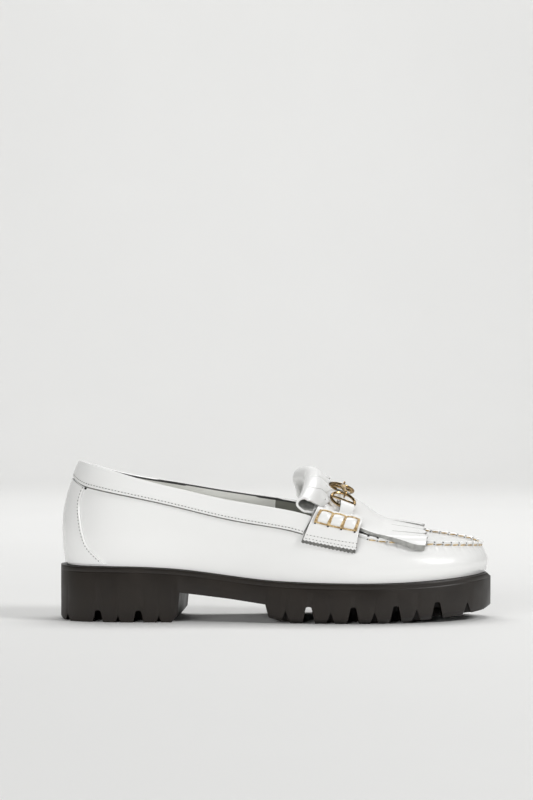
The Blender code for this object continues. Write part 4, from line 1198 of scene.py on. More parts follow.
class TabSkin:
    """A tab's inner face worked out once as a fine grid, with its normals."""

    def __init__(self, side):
        self.alongs = np.linspace(0, 1, 71)
        self.ups = np.linspace(0, 1, 81)
        self.grid = np.array([tab_face(side, a, self.ups) for a in self.alongs])
        normal = grid_normals(self.grid)
        self.normal = normal if side == "lateral" else -normal

    def at(self, along, up, lift):
        """Points at a place on the tab, lifted off it."""
        along, up, lift = np.broadcast_arrays(*(np.asarray(a, float) for a in (along, up, lift)))
        i = np.clip(along, 0, 1) * (len(self.alongs) - 1)
        j = np.clip(up, 0, 1) * (len(self.ups) - 1)
        i0 = np.minimum(i.astype(int), len(self.alongs) - 2)
        j0 = np.minimum(j.astype(int), len(self.ups) - 2)
        fi, fj = (i - i0)[..., None], (j - j0)[..., None]

        def pick(values):
            near = blend(values[i0, j0], values[i0, j0 + 1], fj)
            far = blend(values[i0 + 1, j0], values[i0 + 1, j0 + 1], fj)
            return blend(near, far, fi)

        out = unit(pick(self.normal))
        return pick(self.grid) + out * lift[..., None], out


TAB = {side: TabSkin(side) for side in SIDES}
TAB_LONG = lengths(TAB["lateral"].grid[:, 0])[-1]
TAB_TALL = lengths(TAB["lateral"].grid[len(TAB["lateral"].alongs) // 2])[-1]
print(f"tab {TAB_LONG:.1f} mm long and {TAB_TALL:.1f} mm tall")


def make_tab(side):
    alongs, ups = np.linspace(0, 1, 141), np.linspace(0, 1, 61)
    tooth = np.abs((alongs * TAB_LONG / TOOTH_PITCH) % 1.0 - 0.5) * 2
    up = ups[None, :] + TOOTH_DEEP * tooth[:, None] * (1 - ramp(ups, 0, TOOTH_TALL))[None, :]
    along = np.broadcast_to(alongs[:, None], up.shape)
    drawn_in = blend(TAB_BACK_EDGE, 1.0, along), blend(TAB_CHAMFER, 1.0, up)
    outer, _ = TAB[side].at(*drawn_in, TAB_THICK)
    inner, _ = TAB[side].at(along, up, 0.0)
    points, faces, parts = sheet(outer, inner)
    # The tab's rims are dark grey: raw edge and painted shade.
    tab = add_piece(
        f"tab_{side}",
        points,
        faces,
        ["white_leather", "raw_edge"],
        [0 if part == 0 else 1 for part in parts],
    )
    round_edges(tab, TAB_ROUND)
    return put_on(tab, f"strap_tab_{side}", slot="white_leather")


WHITE_STITCH = Thread("white_thread", 2.05, 1.25, 0.5, 0.0, 2.0)
# Needle holes are small near-black blobs: painted shade for the shade in each hole.
NEEDLE_HOLE = Thread("dark_hole", 2.05, 1.0, 0.5, 0.0, 0.0)
FINE_HOLE = Thread("dark_hole", 2.05, 0.8, 0.4, 0.0, 0.0)
HALF_STITCH = WHITE_STITCH.spacing / 2
TabRow = namedtuple("TabRow", "up start end")
TAB_ROWS = (TabRow(0.13, 0.04, 0.97), TabRow(0.215, 0.04, 0.97))
ROW_POINTS, STITCH_LIFT = 60, 0.04


def tab_row(side, row, shift=0.0):
    along = np.linspace(row.start, row.end, ROW_POINTS) + shift / TAB_LONG
    return TAB[side].at(along, row.up, TAB_THICK + STITCH_LIFT)


for side in SIDES:
    make_tab(side)
    sew(f"tab_stitches_{side}", [tab_row(side, row) for row in TAB_ROWS], WHITE_STITCH)
    sew(f"tab_holes_{side}", [tab_row(side, row, HALF_STITCH) for row in TAB_ROWS], FINE_HOLE)

# %% [markdown]
# ## Beef rolls
#
# The roll is where the strap's end is doubled and whipped with thick thread, so that it swells
# into three cells. The swelling is a product of two sines, one along the roll and one across
# it. The ochre thread makes a ladder: one strand along the top and bottom and two side by side
# in each valley. Each strand is laid by the stitch tree with a steep slant, as a twisted cord.
# The front end of the roll hangs a little lower than the tab's own slope, as in the photo.

# %% Rolls and their thread
ROLL_ALONG, ROLL_UP, ROLL_DROP = (0.13, 0.92), (0.56, 0.88), 0.06
ROLL_CELLS, ROLL_HIGH, ROLL_EDGE, ROLL_VALLEY = 3, 2.6, 0.9, 0.5
CELL_POWER, ROLL_POWER, END_POWER, END_SLOPE = 0.6, 0.5, 0.5, 26.0
ROLL_SUNK, ROLL_BACK = 0.1, 0.4
CORD = Thread("gold_thread", 0.6, 1.7, 0.9, 34.0, 6.0)
CORD_HOLE = Thread("dark_hole", 1.0, 1.3, 1.2, 0.0, 0.0)
CORD_LIFT, CORD_HOLE_UP, CORD_HOLE_LIFT = 0.42, -0.12, 0.15
FOOT_RAIL_UP, RAIL_UP, RAIL_LIFT, RAIL_PAST = -0.04, 0.80, 0.3, 0.01
STRAND_APART, STRAND_FROM, MIDDLE_STRAND, END_STRAND = 0.021, -0.02, 0.9, 0.55
ON_THE_ROLL = (0.02, 0.98)
VALLEYS = np.linspace(0, 1, ROLL_CELLS + 1)


def roll_height(a, v):
    """How far the roll stands above the tab at a share along and a share up it."""
    cells = np.abs(np.sin(np.pi * ROLL_CELLS * a)) ** CELL_POWER
    across = np.clip(np.sin(np.pi * v), 0, 1) ** ROLL_POWER
    return (ROLL_EDGE + ROLL_HIGH * blend(ROLL_VALLEY, 1, cells)) * across


def roll_point(side, a, v, lift):
    """A point of the roll, a share along and a share up it, and the way out of the leather."""
    up = blend(*ROLL_UP, v) - ROLL_DROP * a
    return TAB[side].at(blend(*ROLL_ALONG, a), up, TAB_THICK + lift)


def make_roll(side):
    a, v = np.meshgrid(np.linspace(0, 1, 109), eased(41), indexing="ij")
    ends = np.clip(np.minimum(a, 1 - a) * END_SLOPE, 0, 1) ** END_POWER
    outer, _ = roll_point(side, a, v, roll_height(a, v) * ends - ROLL_SUNK)
    inner, _ = roll_point(side, a, v, -ROLL_BACK)
    points, faces, _ = sheet(outer, inner)
    roll = add_piece(f"roll_{side}", points, faces, ["white_leather"])
    return put_on(roll, f"beef_roll_{side}", slot="white_leather")


def ladder(side):
    """Lines of the thread: a rail at the foot, a rail near the top and two strands at each valley."""
    along = np.linspace(-RAIL_PAST, 1 + RAIL_PAST, 90)
    high = roll_height(np.clip(along, *ON_THE_ROLL), RAIL_UP)
    lines = [roll_point(side, along, FOOT_RAIL_UP, CORD_LIFT)]
    lines.append(roll_point(side, along, RAIL_UP, high + RAIL_LIFT))
    up = np.linspace(STRAND_FROM, RAIL_UP, 40)
    for k, a in enumerate(VALLEYS):
        share = MIDDLE_STRAND if 0 < k < ROLL_CELLS else END_STRAND
        high = roll_height(np.full_like(up, a), np.clip(up, *ON_THE_ROLL)) * share
        for strand in (-STRAND_APART, STRAND_APART):
            lines.append(roll_point(side, a + strand, up, high + CORD_LIFT))
    return lines


for side in SIDES:
    make_roll(side)
    sew(f"roll_thread_{side}", ladder(side), CORD)
    # Near-black blobs at the foot of each valley: painted shade where the thread goes in.
    holes = roll_point(side, VALLEYS, CORD_HOLE_UP, CORD_HOLE_LIFT)
    sew(f"roll_holes_{side}", [holes], CORD_HOLE, own_points=True)

# %% [markdown]
# ## Collar band and heel counter
#
# The band is a folded strip round the topline: it starts at a cut edge low on the outside,
# climbs, rolls over the top and ends just inside, where its edge is coloured near black and
# shows as a dark line. Its cut foot is dark grey: partly the raw edge's own colour and partly
# painted shade for the shadow line under the band. Below the dark line a facing in the lining's
# grey covers the join, near black from 131 mm forward as painted shade. The counter is a flat
# panel over the heel with rounded edges. Both lie on the wall at a set lift, and both have a
# row of white stitches with near-black blobs beside their edge, painted shade for the needle
# holes.

# %% Band and counter
OVERLAY_SUNK = 0.5
BAND_THICK, BAND_ROUND, BAND_LIP, BAND_INSIDE = 1.2, 0.65, 0.6, 0.35
BAND_CUT, BAND_BODY, BAND_PUFF, BAND_CLEAR = 0.15, 0.32, 0.25, 3.5 * GAP
BAND_STITCH, BAND_STITCH_SUNK, BAND_STITCH_POINTS = 0.15, 0.08, 500
FACING_DEEP, FACING_LIFTS = 3.2, (0.1, 0.6)
TAB_EDGE_POINTS = 66

# The band's lower edge and the trough that its stitches pull: share of its height, lift off its face
BandEdge = namedtuple("BandEdge", "share lift")
BAND_EDGE = (
    BandEdge(0.045, -0.2),
    BandEdge(0.058, -0.03),
    BandEdge(0.085, 0.0),
    BandEdge(0.12, -0.04),
    BandEdge(0.15, -0.16),
    BandEdge(0.18, -0.04),
    BandEdge(0.24, 0.02),
)

# How far the band's top moves on each side, and how deep the band is
TopShift = namedtuple("TopShift", "x lateral medial")
TOP_SHIFT = (
    TopShift(12.6, 0.0, 0.0),
    TopShift(32.0, -0.3, -0.6),
    TopShift(53.0, -1.2, 0.0),
    TopShift(84.0, -0.3, 1.7),
    TopShift(108.0, 0.2, 2.0),
    TopShift(124.0, -0.6, 0.9),
    TopShift(136.0, -1.1, 0.2),
    TopShift(150.0, -0.9, 0.0),
)
BandDepth = namedtuple("BandDepth", "x deep")
BAND_DEPTH = (
    BandDepth(12.6, 10.4),
    BandDepth(18.0, 13.0),
    BandDepth(26.0, 13.8),
    BandDepth(44.0, 13.2),
    BandDepth(70.0, 12.5),
    BandDepth(106.0, 11.9),
    BandDepth(130.0, 12.9),
    BandDepth(150.0, 13.2),
)
COUNTER_THICK, COUNTER_RIM = 1.0, 95.0
COUNTER_ROWS, COUNTER_COLUMNS = 45, 91
CounterEdge = namedtuple("CounterEdge", "w x")
COUNTER_EDGE = (
    CounterEdge(0.02, 29.6),
    CounterEdge(0.16, 20.4),
    CounterEdge(0.35, 15.2),
    CounterEdge(0.52, 13.5),
    CounterEdge(0.66, 13.7),
    CounterEdge(0.78, 16.4),
)


band_depth = spline([b.x for b in BAND_DEPTH], [b.deep for b in BAND_DEPTH])
top_shift = spline([s.x for s in TOP_SHIFT], [(s.lateral, s.medial) for s in TOP_SHIFT])


def band_foot(turn):
    """How far up the wall the collar band starts."""
    return 1 - band_depth(LOOP(turn)[..., 2]) / wall_height(turn)


def band_ends():
    """Where the band ends behind each tab, at a share of its height."""
    shares = np.linspace(0, 1, 9)
    found = []
    for side in SIDES:
        tab_edge = TAB[side].grid[0, :TAB_EDGE_POINTS]
        turn = turn_at(tab_edge[0, 0], side)
        turns = []
        for share in shares:
            w = blend(band_foot(turn), 1.0, share)
            x = np.interp(wall(turn, w)[2], tab_edge[:, 2], tab_edge[:, 0])
            turns.append(turn_on_wall(x - BAND_CLEAR, w, side))
        found.append(turns)
    return lambda share: [np.interp(share, shares, turns) for turns in found]


BAND_ENDS = band_ends()


def band_row(share, lift, columns, above=0.0):
    """Points along the band at a share of its height, and above its top by some millimetres."""
    ends = BAND_ENDS(share)
    turns = np.linspace(ends[0], ends[1] - 1, columns)
    shift = top_shift(LOOP(turns)[:, 2])
    above = above + np.where(turns > 0, shift[:, 0], shift[:, 1]) * share
    return wall(turns, blend(band_foot(turns), 1.0, share) + above / wall_height(turns), lift)


def make_band():
    columns = 300
    face = OVERLAY_GAP + BAND_THICK
    profile = [(0.0, -OVERLAY_SUNK, 0.0), (0.0, BAND_CUT, 0.0)]
    profile += [(edge.share, face + edge.lift, 0.0) for edge in BAND_EDGE]
    for share in np.linspace(BAND_BODY, 1.0, 9):
        profile.append((share, face + BAND_PUFF * math.sin(math.pi * share), -BAND_ROUND * share))
    inner = -WALL - BAND_INSIDE
    for angle in np.linspace(0, np.pi, 11)[1:]:
        lift = blend(inner, face, (1 + math.cos(angle)) / 2)
        profile.append((1.0, lift, BAND_ROUND * (math.sin(angle) - 1)))
    dark_edge_from, facing_from = len(profile) - 3, len(profile)
    lip = -BAND_ROUND - BAND_LIP
    profile.append((1.0, inner, lip))
    profile += [(1.0, inner + lift, lip - FACING_DEEP) for lift in FACING_LIFTS]
    rows = [band_row(share, lift, columns, above) for share, lift, above in profile]
    shape = loft(np.array(rows).transpose(1, 0, 2))
    per = len(rows)
    # Painted shade: from 131 mm forward the facing takes the near-black lining too; the index named
    # vamp below stands for it.
    dark = rows[-3][:, 0] > LINING_SHADE_FROM
    finishes = ("white_leather", "inked_edge", "raw_edge", "grey_lining", "vamp_lining")
    white, dark_edge, raw, quarter, vamp = range(len(finishes))
    finish_of_face = [white, white]
    for i in range(len(shape[1]) - 2):
        row, column = i % per, i // per
        # Row 1 is the cut foot: dark grey as raw edge and as painted shade for the line under the
        # band.
        if row == 1:
            finish = raw
        elif row < facing_from:
            finish = white if row < dark_edge_from else dark_edge
        else:
            finish = vamp if dark[column] else quarter
        finish_of_face.append(finish)
    band = add_piece("band_leather", *shape, finishes, finish_of_face)
    return put_on(band, "collar_band", slot="white_leather")


def line_with_out(points, further):
    return points, unit(further - points)


def band_stitches(shift):
    face = OVERLAY_GAP + BAND_THICK - BAND_STITCH_SUNK
    low, high = (band_row(BAND_STITCH, lift, BAND_STITCH_POINTS) for lift in (face, face + 1))
    if shift:
        along = lengths(low)
        moved = [
            np.stack([np.interp(along + shift, along, p[:, k]) for k in range(3)], axis=1)
            for p in (low, high)
        ]
        low, high = moved[0][:-3], moved[1][:-3]
    return line_with_out(low, high)


counter_edge = spline([e.w for e in COUNTER_EDGE], [e.x for e in COUNTER_EDGE])


def counter_grid(shares, across, lift):
    """Points on the counter: shares up it, across it from lateral to medial, lifted off the wall."""
    low, high = COUNTER_EDGE[0].w, COUNTER_EDGE[-1].w
    rows = []
    for share, lifts in zip(shares, lift):
        w = blend(low, high, share)
        ends = [turn_on_wall(counter_edge(w), w, side) for side in TURNS]
        turns = blend(ends[0], ends[1] - 1, across)
        up = blend(low, band_foot(turns) - GAP / 30, share)
        rows.append(wall(turns, up, lifts))
    return np.array(rows)


def make_counter():
    shares, across = np.linspace(0, 1, COUNTER_ROWS), eased(COUNTER_COLUMNS)
    rim = np.clip(np.minimum(across, 1 - across) * COUNTER_RIM, 0, 1)
    lift = np.sqrt(1 - (1 - rim) ** 2) * (OVERLAY_GAP + COUNTER_THICK)
    outer = counter_grid(shares, across, np.tile(lift, (COUNTER_ROWS, 1)))
    inner = counter_grid(shares, across, np.full((COUNTER_ROWS, COUNTER_COLUMNS), -OVERLAY_SUNK))
    points, faces, _ = sheet(outer, inner)
    counter = add_piece("counter_leather", points, faces, ["white_leather"])
    return put_on(counter, "heel_counter", slot="white_leather")


COUNTER_STITCH, COUNTER_SEWN, COUNTER_HOLES = 0.022, (0.03, 0.97), 0.02
# Near-black blobs just past the counter's top corners: painted shade for the gap where counter and
# band meet.
CORNER_SHADE = Thread("dark_hole", 1.0, 2.4, 1.5, 0.0, 0.0)
CORNER_OUT, CORNER_LIFT = 0.01, 0.3


def counter_stitches(shift):
    shares = np.linspace(*COUNTER_SEWN, ROW_POINTS) + shift
    lift = np.full((ROW_POINTS, 1), OVERLAY_GAP + COUNTER_THICK)
    lines = []
    for across in (COUNTER_STITCH, 1 - COUNTER_STITCH):
        at = np.array([across])
        low, high = (counter_grid(shares, at, off)[:, 0] for off in (lift, lift + 1))
        lines.append(line_with_out(low, high))
    return lines


make_band()
make_counter()
sew("band_stitches", [band_stitches(0.0)], WHITE_STITCH)
sew("band_holes", [band_stitches(HALF_STITCH)], NEEDLE_HOLE)
sew("counter_stitches", counter_stitches(0.0), WHITE_STITCH)
sew("counter_holes", counter_stitches(COUNTER_HOLES), NEEDLE_HOLE)
corner_lines = np.array([-CORNER_OUT, 1 + CORNER_OUT])
corners = counter_grid([1.0], corner_lines, np.full((1, 2), CORNER_LIFT))[0]
outs = [out[-1] for _, out in counter_stitches(0.0)]
sew("counter_corners", [(corners, outs)], CORNER_SHADE, own_points=True)

# %% [markdown]
# ## The kiltie
#
# A kiltie is a flat piece of leather cut into strips at both ends. Its front fringe lies over
# the vamp, its middle runs under the bit, and its back end is rolled up at the throat and
# folded forward. Rows run along that path and columns across the six strips. The slits between
# them are real gaps that widen towards the tips, the tips are cut to a point, and a hole is
# punched near each one.

# %% Kiltie
STRIPS, SLIT, SLIT_START = 6, 0.021, 0.25
TIP_LONG, TIP_FADE = 2.6, 9.0
DRAPE = 0.28
CURL_X, CURL_RADIUS, CURL_STEPS, CURL_EDGE = 153.3, 5.6, 7, -0.02
LATERAL_SWEEP, LATERAL_POWER = 5.0, 2.2
MEDIAL_SWEEP, MEDIAL_FROM, MEDIAL_EASE, MEDIAL_EASES = 6.5, (-0.12, 0.52), 0.45, (0.45, 1.0)
FLAP_SLIT = 0.45
FLAP = (Fold(155.2, 11.9, 0.05), Fold(157.3, 10.2, 0.10), Fold(159.3, 8.3, 0.14))
FLAP_DROP, FLAP_SWEEP, CURL_SHRINK, MEDIAL_SHRINK = 0.72, 1.5, 0.24, 0.75
CUT_EDGE, EDGE_THIN, EDGE_THIN_KNOTS, EDGE_SHADE_KNOT = 0.014, 0.8, (7, 9), 8
STRIP_WAVE, STRIP_TURN, STRIP_PHASE, LAST_LINE = 0.30, 2.4, 0.6, 0.999
FRINGE_ROOT = 200.0
STRIP_COLUMNS, KILTIE_ROWS = 13, 190
HOLE_BACK, HOLE_RADIUS, PUNCH_DEEP = 4.2, 0.55, 1.6
KILTIE_ROUND, KILTIE_ROUND_ANGLE = 0.16, 50


def kiltie_rows():
    """Knots of (x, lift, edge) along the kiltie's middle layer, front tips first."""
    rows = [(f.x, f.lift, f.edge) for f in BODY]
    centre = BODY[-1].lift + CURL_RADIUS
    for angle in np.linspace(1.5 * np.pi, 0.5 * np.pi, CURL_STEPS + 1):
        x = CURL_X + CURL_RADIUS * math.cos(angle)
        rows.append((x, centre + CURL_RADIUS * math.sin(angle), CURL_EDGE))
    return np.array(rows + [(f.x, f.lift, f.edge) for f in FLAP])


KNOTS = kiltie_rows()
KNOT_REACH = lengths(KNOTS[:, :2])
kiltie_path = spline(KNOT_REACH, KNOTS)
FLAP_KNOT = len(BODY) + CURL_STEPS
SLIT_OVER_ROLL = FLAP_KNOT - 1.6


def kiltie_point(x, lift, t):
    """A point over the apron. Past the seams it drapes outwards and down."""
    inside = np.clip(t, 0, 1)
    over = (t - inside) * np.linalg.norm(crown(x, 1.0) - crown(x, 0.0), axis=-1)
    found = crown(x, inside, lift)
    found[..., 1] += over
    found[..., 2] -= DRAPE * over**2
    return found


def kiltie_at(reach, line, slit_side=0.0):
    """Points of the kiltie's middle layer at a length along it and a place across it."""
    path = kiltie_path(reach)
    knot = np.interp(reach, KNOT_REACH, np.arange(len(KNOTS)))
    x, lift, edge = path[..., 0], path[..., 1], path[..., 2]
    to_front = ramp(x, FRINGE_ROOT, BODY[0].x) * (knot < len(BODY))
    to_tip = np.clip((knot - SLIT_OVER_ROLL) / (len(KNOTS) - 1 - SLIT_OVER_ROLL), 0, 1)
    wide = SLIT * blend(SLIT_START, 1.0, np.maximum(to_front, to_tip))
    wide = wide * np.where(knot < len(BODY), 1.0, FLAP_SLIT)
    line = line + slit_side * wide / 2
    number = np.floor(np.clip(line, 0, LAST_LINE) * STRIPS)
    point = 1 - np.abs(2 * np.clip(line * STRIPS - number, 0, 1) - 1)
    near_front = np.clip(1 - reach / TIP_FADE, 0, 1)
    near_back = np.clip(1 - (KNOT_REACH[-1] - reach) / (TIP_FADE / 2), 0, 1)
    to_side = (1 - np.sin(np.pi * np.clip(line, 0, 1))) ** 2
    behind = ramp(-x, -BODY[-1].x, -CURL_X) * ramp(-knot, 1 - len(KNOTS), 1 - FLAP_KNOT)
    to_back_tip = ramp(knot, FLAP_KNOT - 1, len(KNOTS) - 1)
    aside = 2 * np.clip(line, 0, 1) - 1
    medial = ramp(aside, *MEDIAL_FROM) - MEDIAL_EASE * ramp(aside, *MEDIAL_EASES)
    swept = LATERAL_SWEEP * np.clip(-aside, 0, 1) ** LATERAL_POWER + MEDIAL_SWEEP * medial
    x = x - swept * behind - FLAP_SWEEP * to_back_tip * to_side
    x = x + TIP_LONG * point * np.maximum(near_front, near_back)
    in_curl = ramp(knot, len(BODY), len(BODY) + 3)
    shrink = (CURL_SHRINK * in_curl + (FLAP_DROP - CURL_SHRINK) * to_back_tip) * to_side
    lift = lift * (1 - shrink * np.where(line < 0.5, 1.0, MEDIAL_SHRINK))
    lift = lift + STRIP_WAVE * np.sin(STRIP_TURN * number + STRIP_PHASE) * to_front
    return kiltie_point(x, lift, blend(edge, 1 - edge, line))


def make_kiltie():
    reach = np.linspace(0, KNOT_REACH[-1], KILTIE_ROWS)
    lines, sides, slits = [], [], []
    for k in range(STRIPS):
        here = np.linspace(k / STRIPS, (k + 1) / STRIPS, STRIP_COLUMNS)
        side = np.zeros(STRIP_COLUMNS)
        side[0] = 1 if k else 0
        side[-1] = -1 if k < STRIPS - 1 else 0
        here[0] += 1e-6
        here[-1] -= 1e-6
        lines.append(here)
        sides.append(side)
        slits.append((k + 1) * STRIP_COLUMNS - 1)
    lines, sides = np.concatenate(lines), np.concatenate(sides)
    lines[1], lines[-2] = CUT_EDGE, 1 - CUT_EDGE
    middle = kiltie_at(reach[:, None] + 0 * lines, lines + 0 * reach[:, None], sides)
    half = grid_normals(middle) * KILTIE_THICK / 2
    knot = np.interp(reach, KNOT_REACH, np.arange(len(KNOTS)))
    x = kiltie_path(reach)[:, 0]
    open_row = ((x > FRINGE_ROOT) & (knot < len(BODY))) | (knot > SLIT_OVER_ROLL)
    keep = np.ones((KILTIE_ROWS - 1, len(lines) - 1), bool)
    for column in slits[:-1]:
        keep[open_row[:-1] & open_row[1:], column] = False
    top, under = middle - half, middle + half
    thin = EDGE_THIN * (1 - ramp(knot, *EDGE_THIN_KNOTS))[:, None]
    for edge in (0, -1):
        top[:, edge] = blend(top[:, edge], under[:, edge], thin)
    points, faces, parts = sheet(under, top, keep)
    cells = [(i, j) for i in range(KILTIE_ROWS - 1) for j in range(len(lines) - 1) if keep[i, j]]
    # Grey goes on the underside everywhere, on top along the two side edges over most of the body, and
    # on the rims in front of 186 mm: partly the flesh side's own colour, partly painted shade for the
    # roll's inside, the gap under the fringe's edge and the slits.
    finish_of_face = [0] * len(parts)
    for cell, (row, column) in enumerate(cells):
        finish_of_face[2 * cell + (1 if knot[row] > len(BODY) - 0.5 else 0)] = 1
        if column in (0, len(lines) - 2) and knot[row] < EDGE_SHADE_KNOT:
            finish_of_face[2 * cell + 1] = 1
    for k in range(2 * len(cells), len(faces)):
        finish_of_face[k] = 1 if points[list(faces[k]), 0].mean() > BODY[5].x else 0
    kiltie = add_piece(
        "kiltie_leather", points, faces, ["white_leather", "flesh_side"], finish_of_face
    )
    punches = []
    for k in range(STRIPS):
        line = (k + 0.5) / STRIPS
        for at in (HOLE_BACK, KNOT_REACH[-1] - HOLE_BACK / 2):
            spot = kiltie_at(np.array([at, at + 0.5]), np.array([line, line]))
            side = kiltie_at(np.array([at]), np.array([line + 0.01]))[0]
            along, across = unit(spot[1] - spot[0]), unit(side - spot[0])
            up = unit(np.cross(along, across))
            ring = [
                spot[0] + HOLE_RADIUS * (along * math.cos(a) + across * math.sin(a))
                for a in np.linspace(0, 2 * np.pi, 12, endpoint=False)
            ]
            punches.append(loft([np.array(ring) + up * deep for deep in (-PUNCH_DEEP, PUNCH_DEEP)]))
    cut(kiltie, "punched holes", join_shapes(*punches))
    round_edges(kiltie, KILTIE_ROUND, 1, KILTIE_ROUND_ANGLE)
    return put_on(kiltie, "kiltie", slot="white_leather")


make_kiltie()

# %% [markdown]
# ## The bit and its keepers
#
# The bit is polished metal: two rings, each with a straight bar, and a mouthpiece hooked into
# both. A tube swept along a path makes each of them, with enough sides to reflect cleanly. The
# keepers are narrow leather loops that come up from the tabs, over the ring and under its bar.

# %% Bit
RING_X, KEEPER_X = 169.2, 170.7
RING_T = {"lateral": 0.28, "medial": 0.67}
RING_LONG, RING_WIDE, RING_TUBE = 7.4, 6.9, 0.88
RING_LIFT, RING_TILT, ROD_SHARE, ROD_BOW = 3.2, 0.10, 0.92, 0.01
EYE_RADIUS, EYE_TUBE = 2.0, 0.6
BAR_TUBE, BAR_BARREL, BAR_RISE = 0.85, 1.5, 0.9


def tube(path, radii, sides, closed=False):
    """A round tube along a path that lies in a plane."""
    path = np.asarray(path, float)
    ahead = np.roll(path, -1, axis=0) - np.roll(path, 1, axis=0)
    if not closed:
        ahead[0] = path[1] - path[0]
        ahead[-1] = path[-1] - path[-2]
    ahead = unit(ahead)
    flat = unit(np.linalg.svd(path - path.mean(axis=0))[2][2])
    side = unit(np.cross(ahead, flat))
    turns = np.linspace(0, 2 * np.pi, sides, endpoint=False)
    rings = [
        p + r * (np.outer(np.cos(turns), s) + np.outer(np.sin(turns), np.cross(s, a)))
        for p, r, s, a in zip(path, np.broadcast_to(radii, len(path)), side, ahead)
    ]
    return loft(rings, closed)


def ring_frame(side):
    """Centre of a ring, and its directions: along the shoe, towards the crest, and off the surface."""
    t = RING_T[side]
    lift = kiltie_top(RING_X) + RING_LIFT
    ahead, behind = RING_X + 3, RING_X - 3
    along = unit(crown(ahead, t, kiltie_top(ahead)) - crown(behind, t, kiltie_top(behind)))
    across = crown(RING_X, t + 0.02) - crown(RING_X, t - 0.02)
    if side == "medial":
        across = -across
    across = unit(across - along * np.dot(across, along))
    off = np.cross(along, across) * (1 if side == "lateral" else -1)
    tilted = unit(across + off * RING_TILT)
    return crown(RING_X, t, lift), along, tilted, unit(off - tilted * np.dot(off, tilted))


def make_ring(side):
    centre, along, across, _ = ring_frame(side)
    turns = np.linspace(0, 2 * np.pi, 96, endpoint=False)
    path = [
        centre + along * RING_LONG * math.cos(a) + across * RING_WIDE * math.sin(a) for a in turns
    ]
    rod = [
        centre + along * RING_LONG * s + across * ROD_BOW * (1 - s * s) for s in np.linspace(-1, 1, 9)
    ]
    shape = join_shapes(tube(path, RING_TUBE, 20, closed=True), tube(rod, RING_TUBE * ROD_SHARE, 20))
    ring = add_piece(f"ring_{side}", *shape, ["gold_metal"])
    return put_on(ring, f"bit_ring_{side}", slot="gold_metal")


def make_bar():
    ends, shapes = [], []
    for side in SIDES:
        centre, _, across, off = ring_frame(side)
        seat = centre + across * RING_WIDE
        turns = np.linspace(0, 2 * np.pi, 40, endpoint=False)
        path = [seat + EYE_RADIUS * (across * math.cos(a) + off * math.sin(a)) for a in turns]
        shapes.append(tube(path, EYE_TUBE, 14, closed=True))
        ends.append(seat + across * EYE_RADIUS)
    span = np.linspace(0, 1, 49)
    arch = crown(RING_X, 0.5, kiltie_top(RING_X) + RING_LIFT + BAR_RISE)
    lean = 2 * arch - (ends[0] + ends[1]) / 2
    path = [(1 - s) ** 2 * ends[0] + 2 * s * (1 - s) * lean + s**2 * ends[1] for s in span]
    radii = BAR_TUBE + (BAR_BARREL - BAR_TUBE) * np.sin(np.pi * span) ** 2
    shapes.append(tube(path, radii, 20))
    bar = add_piece("mouthpiece", *join_shapes(*shapes), ["gold_metal"])
    return put_on(bar, "bit_bar", slot="gold_metal")


KEEPER_WIDE, KEEPER_THICK, KEEPER_ROUND = 7.4, 1.2, 0.2
KEEPER_SLANT, KEEPER_SLANTS = 0.27, (8.0, 11.0)
Turn = namedtuple("Turn", "arc lift")
KEEPER_RUN = (
    Turn(-13.0, 1.0),
    Turn(-11.2, 2.0),
    Turn(-9.2, 4.6),
    Turn(-7.0, 5.4),
    Turn(-4.6, 4.8),
    Turn(-2.6, 2.7),
    Turn(-0.6, 1.1),
    Turn(2.4, 0.8),
)


def make_keeper(side):
    """A leather strap from the tab's top edge over the ring and under its bar."""
    t = RING_T[side]
    sign = 1 if side == "lateral" else -1
    per_t = np.linalg.norm(crown(RING_X, t + 0.05) - crown(RING_X, t - 0.05)) / 0.1
    run = np.array([(k.arc, k.lift) for k in KEEPER_RUN])
    reach = lengths(run)
    run = spline(reach, run)(np.linspace(0, reach[-1], 56))
    ahead = unit(np.gradient(run, axis=0))
    off = np.stack([-ahead[:, 1], ahead[:, 0]], axis=1) * KEEPER_THICK / 2
    xs = KEEPER_X + np.linspace(-0.5, 0.5, 13) * KEEPER_WIDE
    faces = []
    for shift in (off, -off):
        grid = []
        for arc, lift in run + shift:
            skew = KEEPER_SLANT * (xs - KEEPER_X) * ramp(-arc, *KEEPER_SLANTS)
            grid.append(crown(xs, t + sign * (arc + skew) / per_t, kiltie_top(xs) + lift))
        faces.append(np.array(grid))
    points, quads, parts = sheet(faces[0], faces[1])
    # Its rims are dark grey: raw edge and painted shade.
    keeper = add_piece(
        f"keeper_leather_{side}",
        points,
        quads,
        ["white_leather", "raw_edge"],
        [1 if part == 2 else 0 for part in parts],
    )
    round_edges(keeper, KEEPER_ROUND)
    return put_on(keeper, f"keeper_{side}", slot="white_leather")


for side in SIDES:
    make_ring(side)
    make_keeper(side)
make_bar()

# %% [markdown]
# ## Stage, light and camera
#
# The photo is a plain studio picture: a pale sweep of paper, a key light from the right that
# leaves the heel in shade and throws a soft shadow to the left, a broad lamp above, one for the
# backdrop and a low fill in front that no surface mirrors. The bit is kept out of the lamp above,
# as a photographer does with a black flag, so that its gold also mirrors the dark. The camera is
# level, a little above the shoe and far away with a long lens, so the near and far sides are
# almost the same size.

# %% Stage
SWEEP_REACH, SWEEP_FLAT, SWEEP_BEND, SWEEP_TALL = 9.0, 2.4, 0.9, 4.5
ROOM_COLOUR, ROOM_LIGHT = (1.0, 1.0, 0.99, 1), 0.06
FLAGGED = ("ring_lateral", "ring_medial", "mouthpiece")


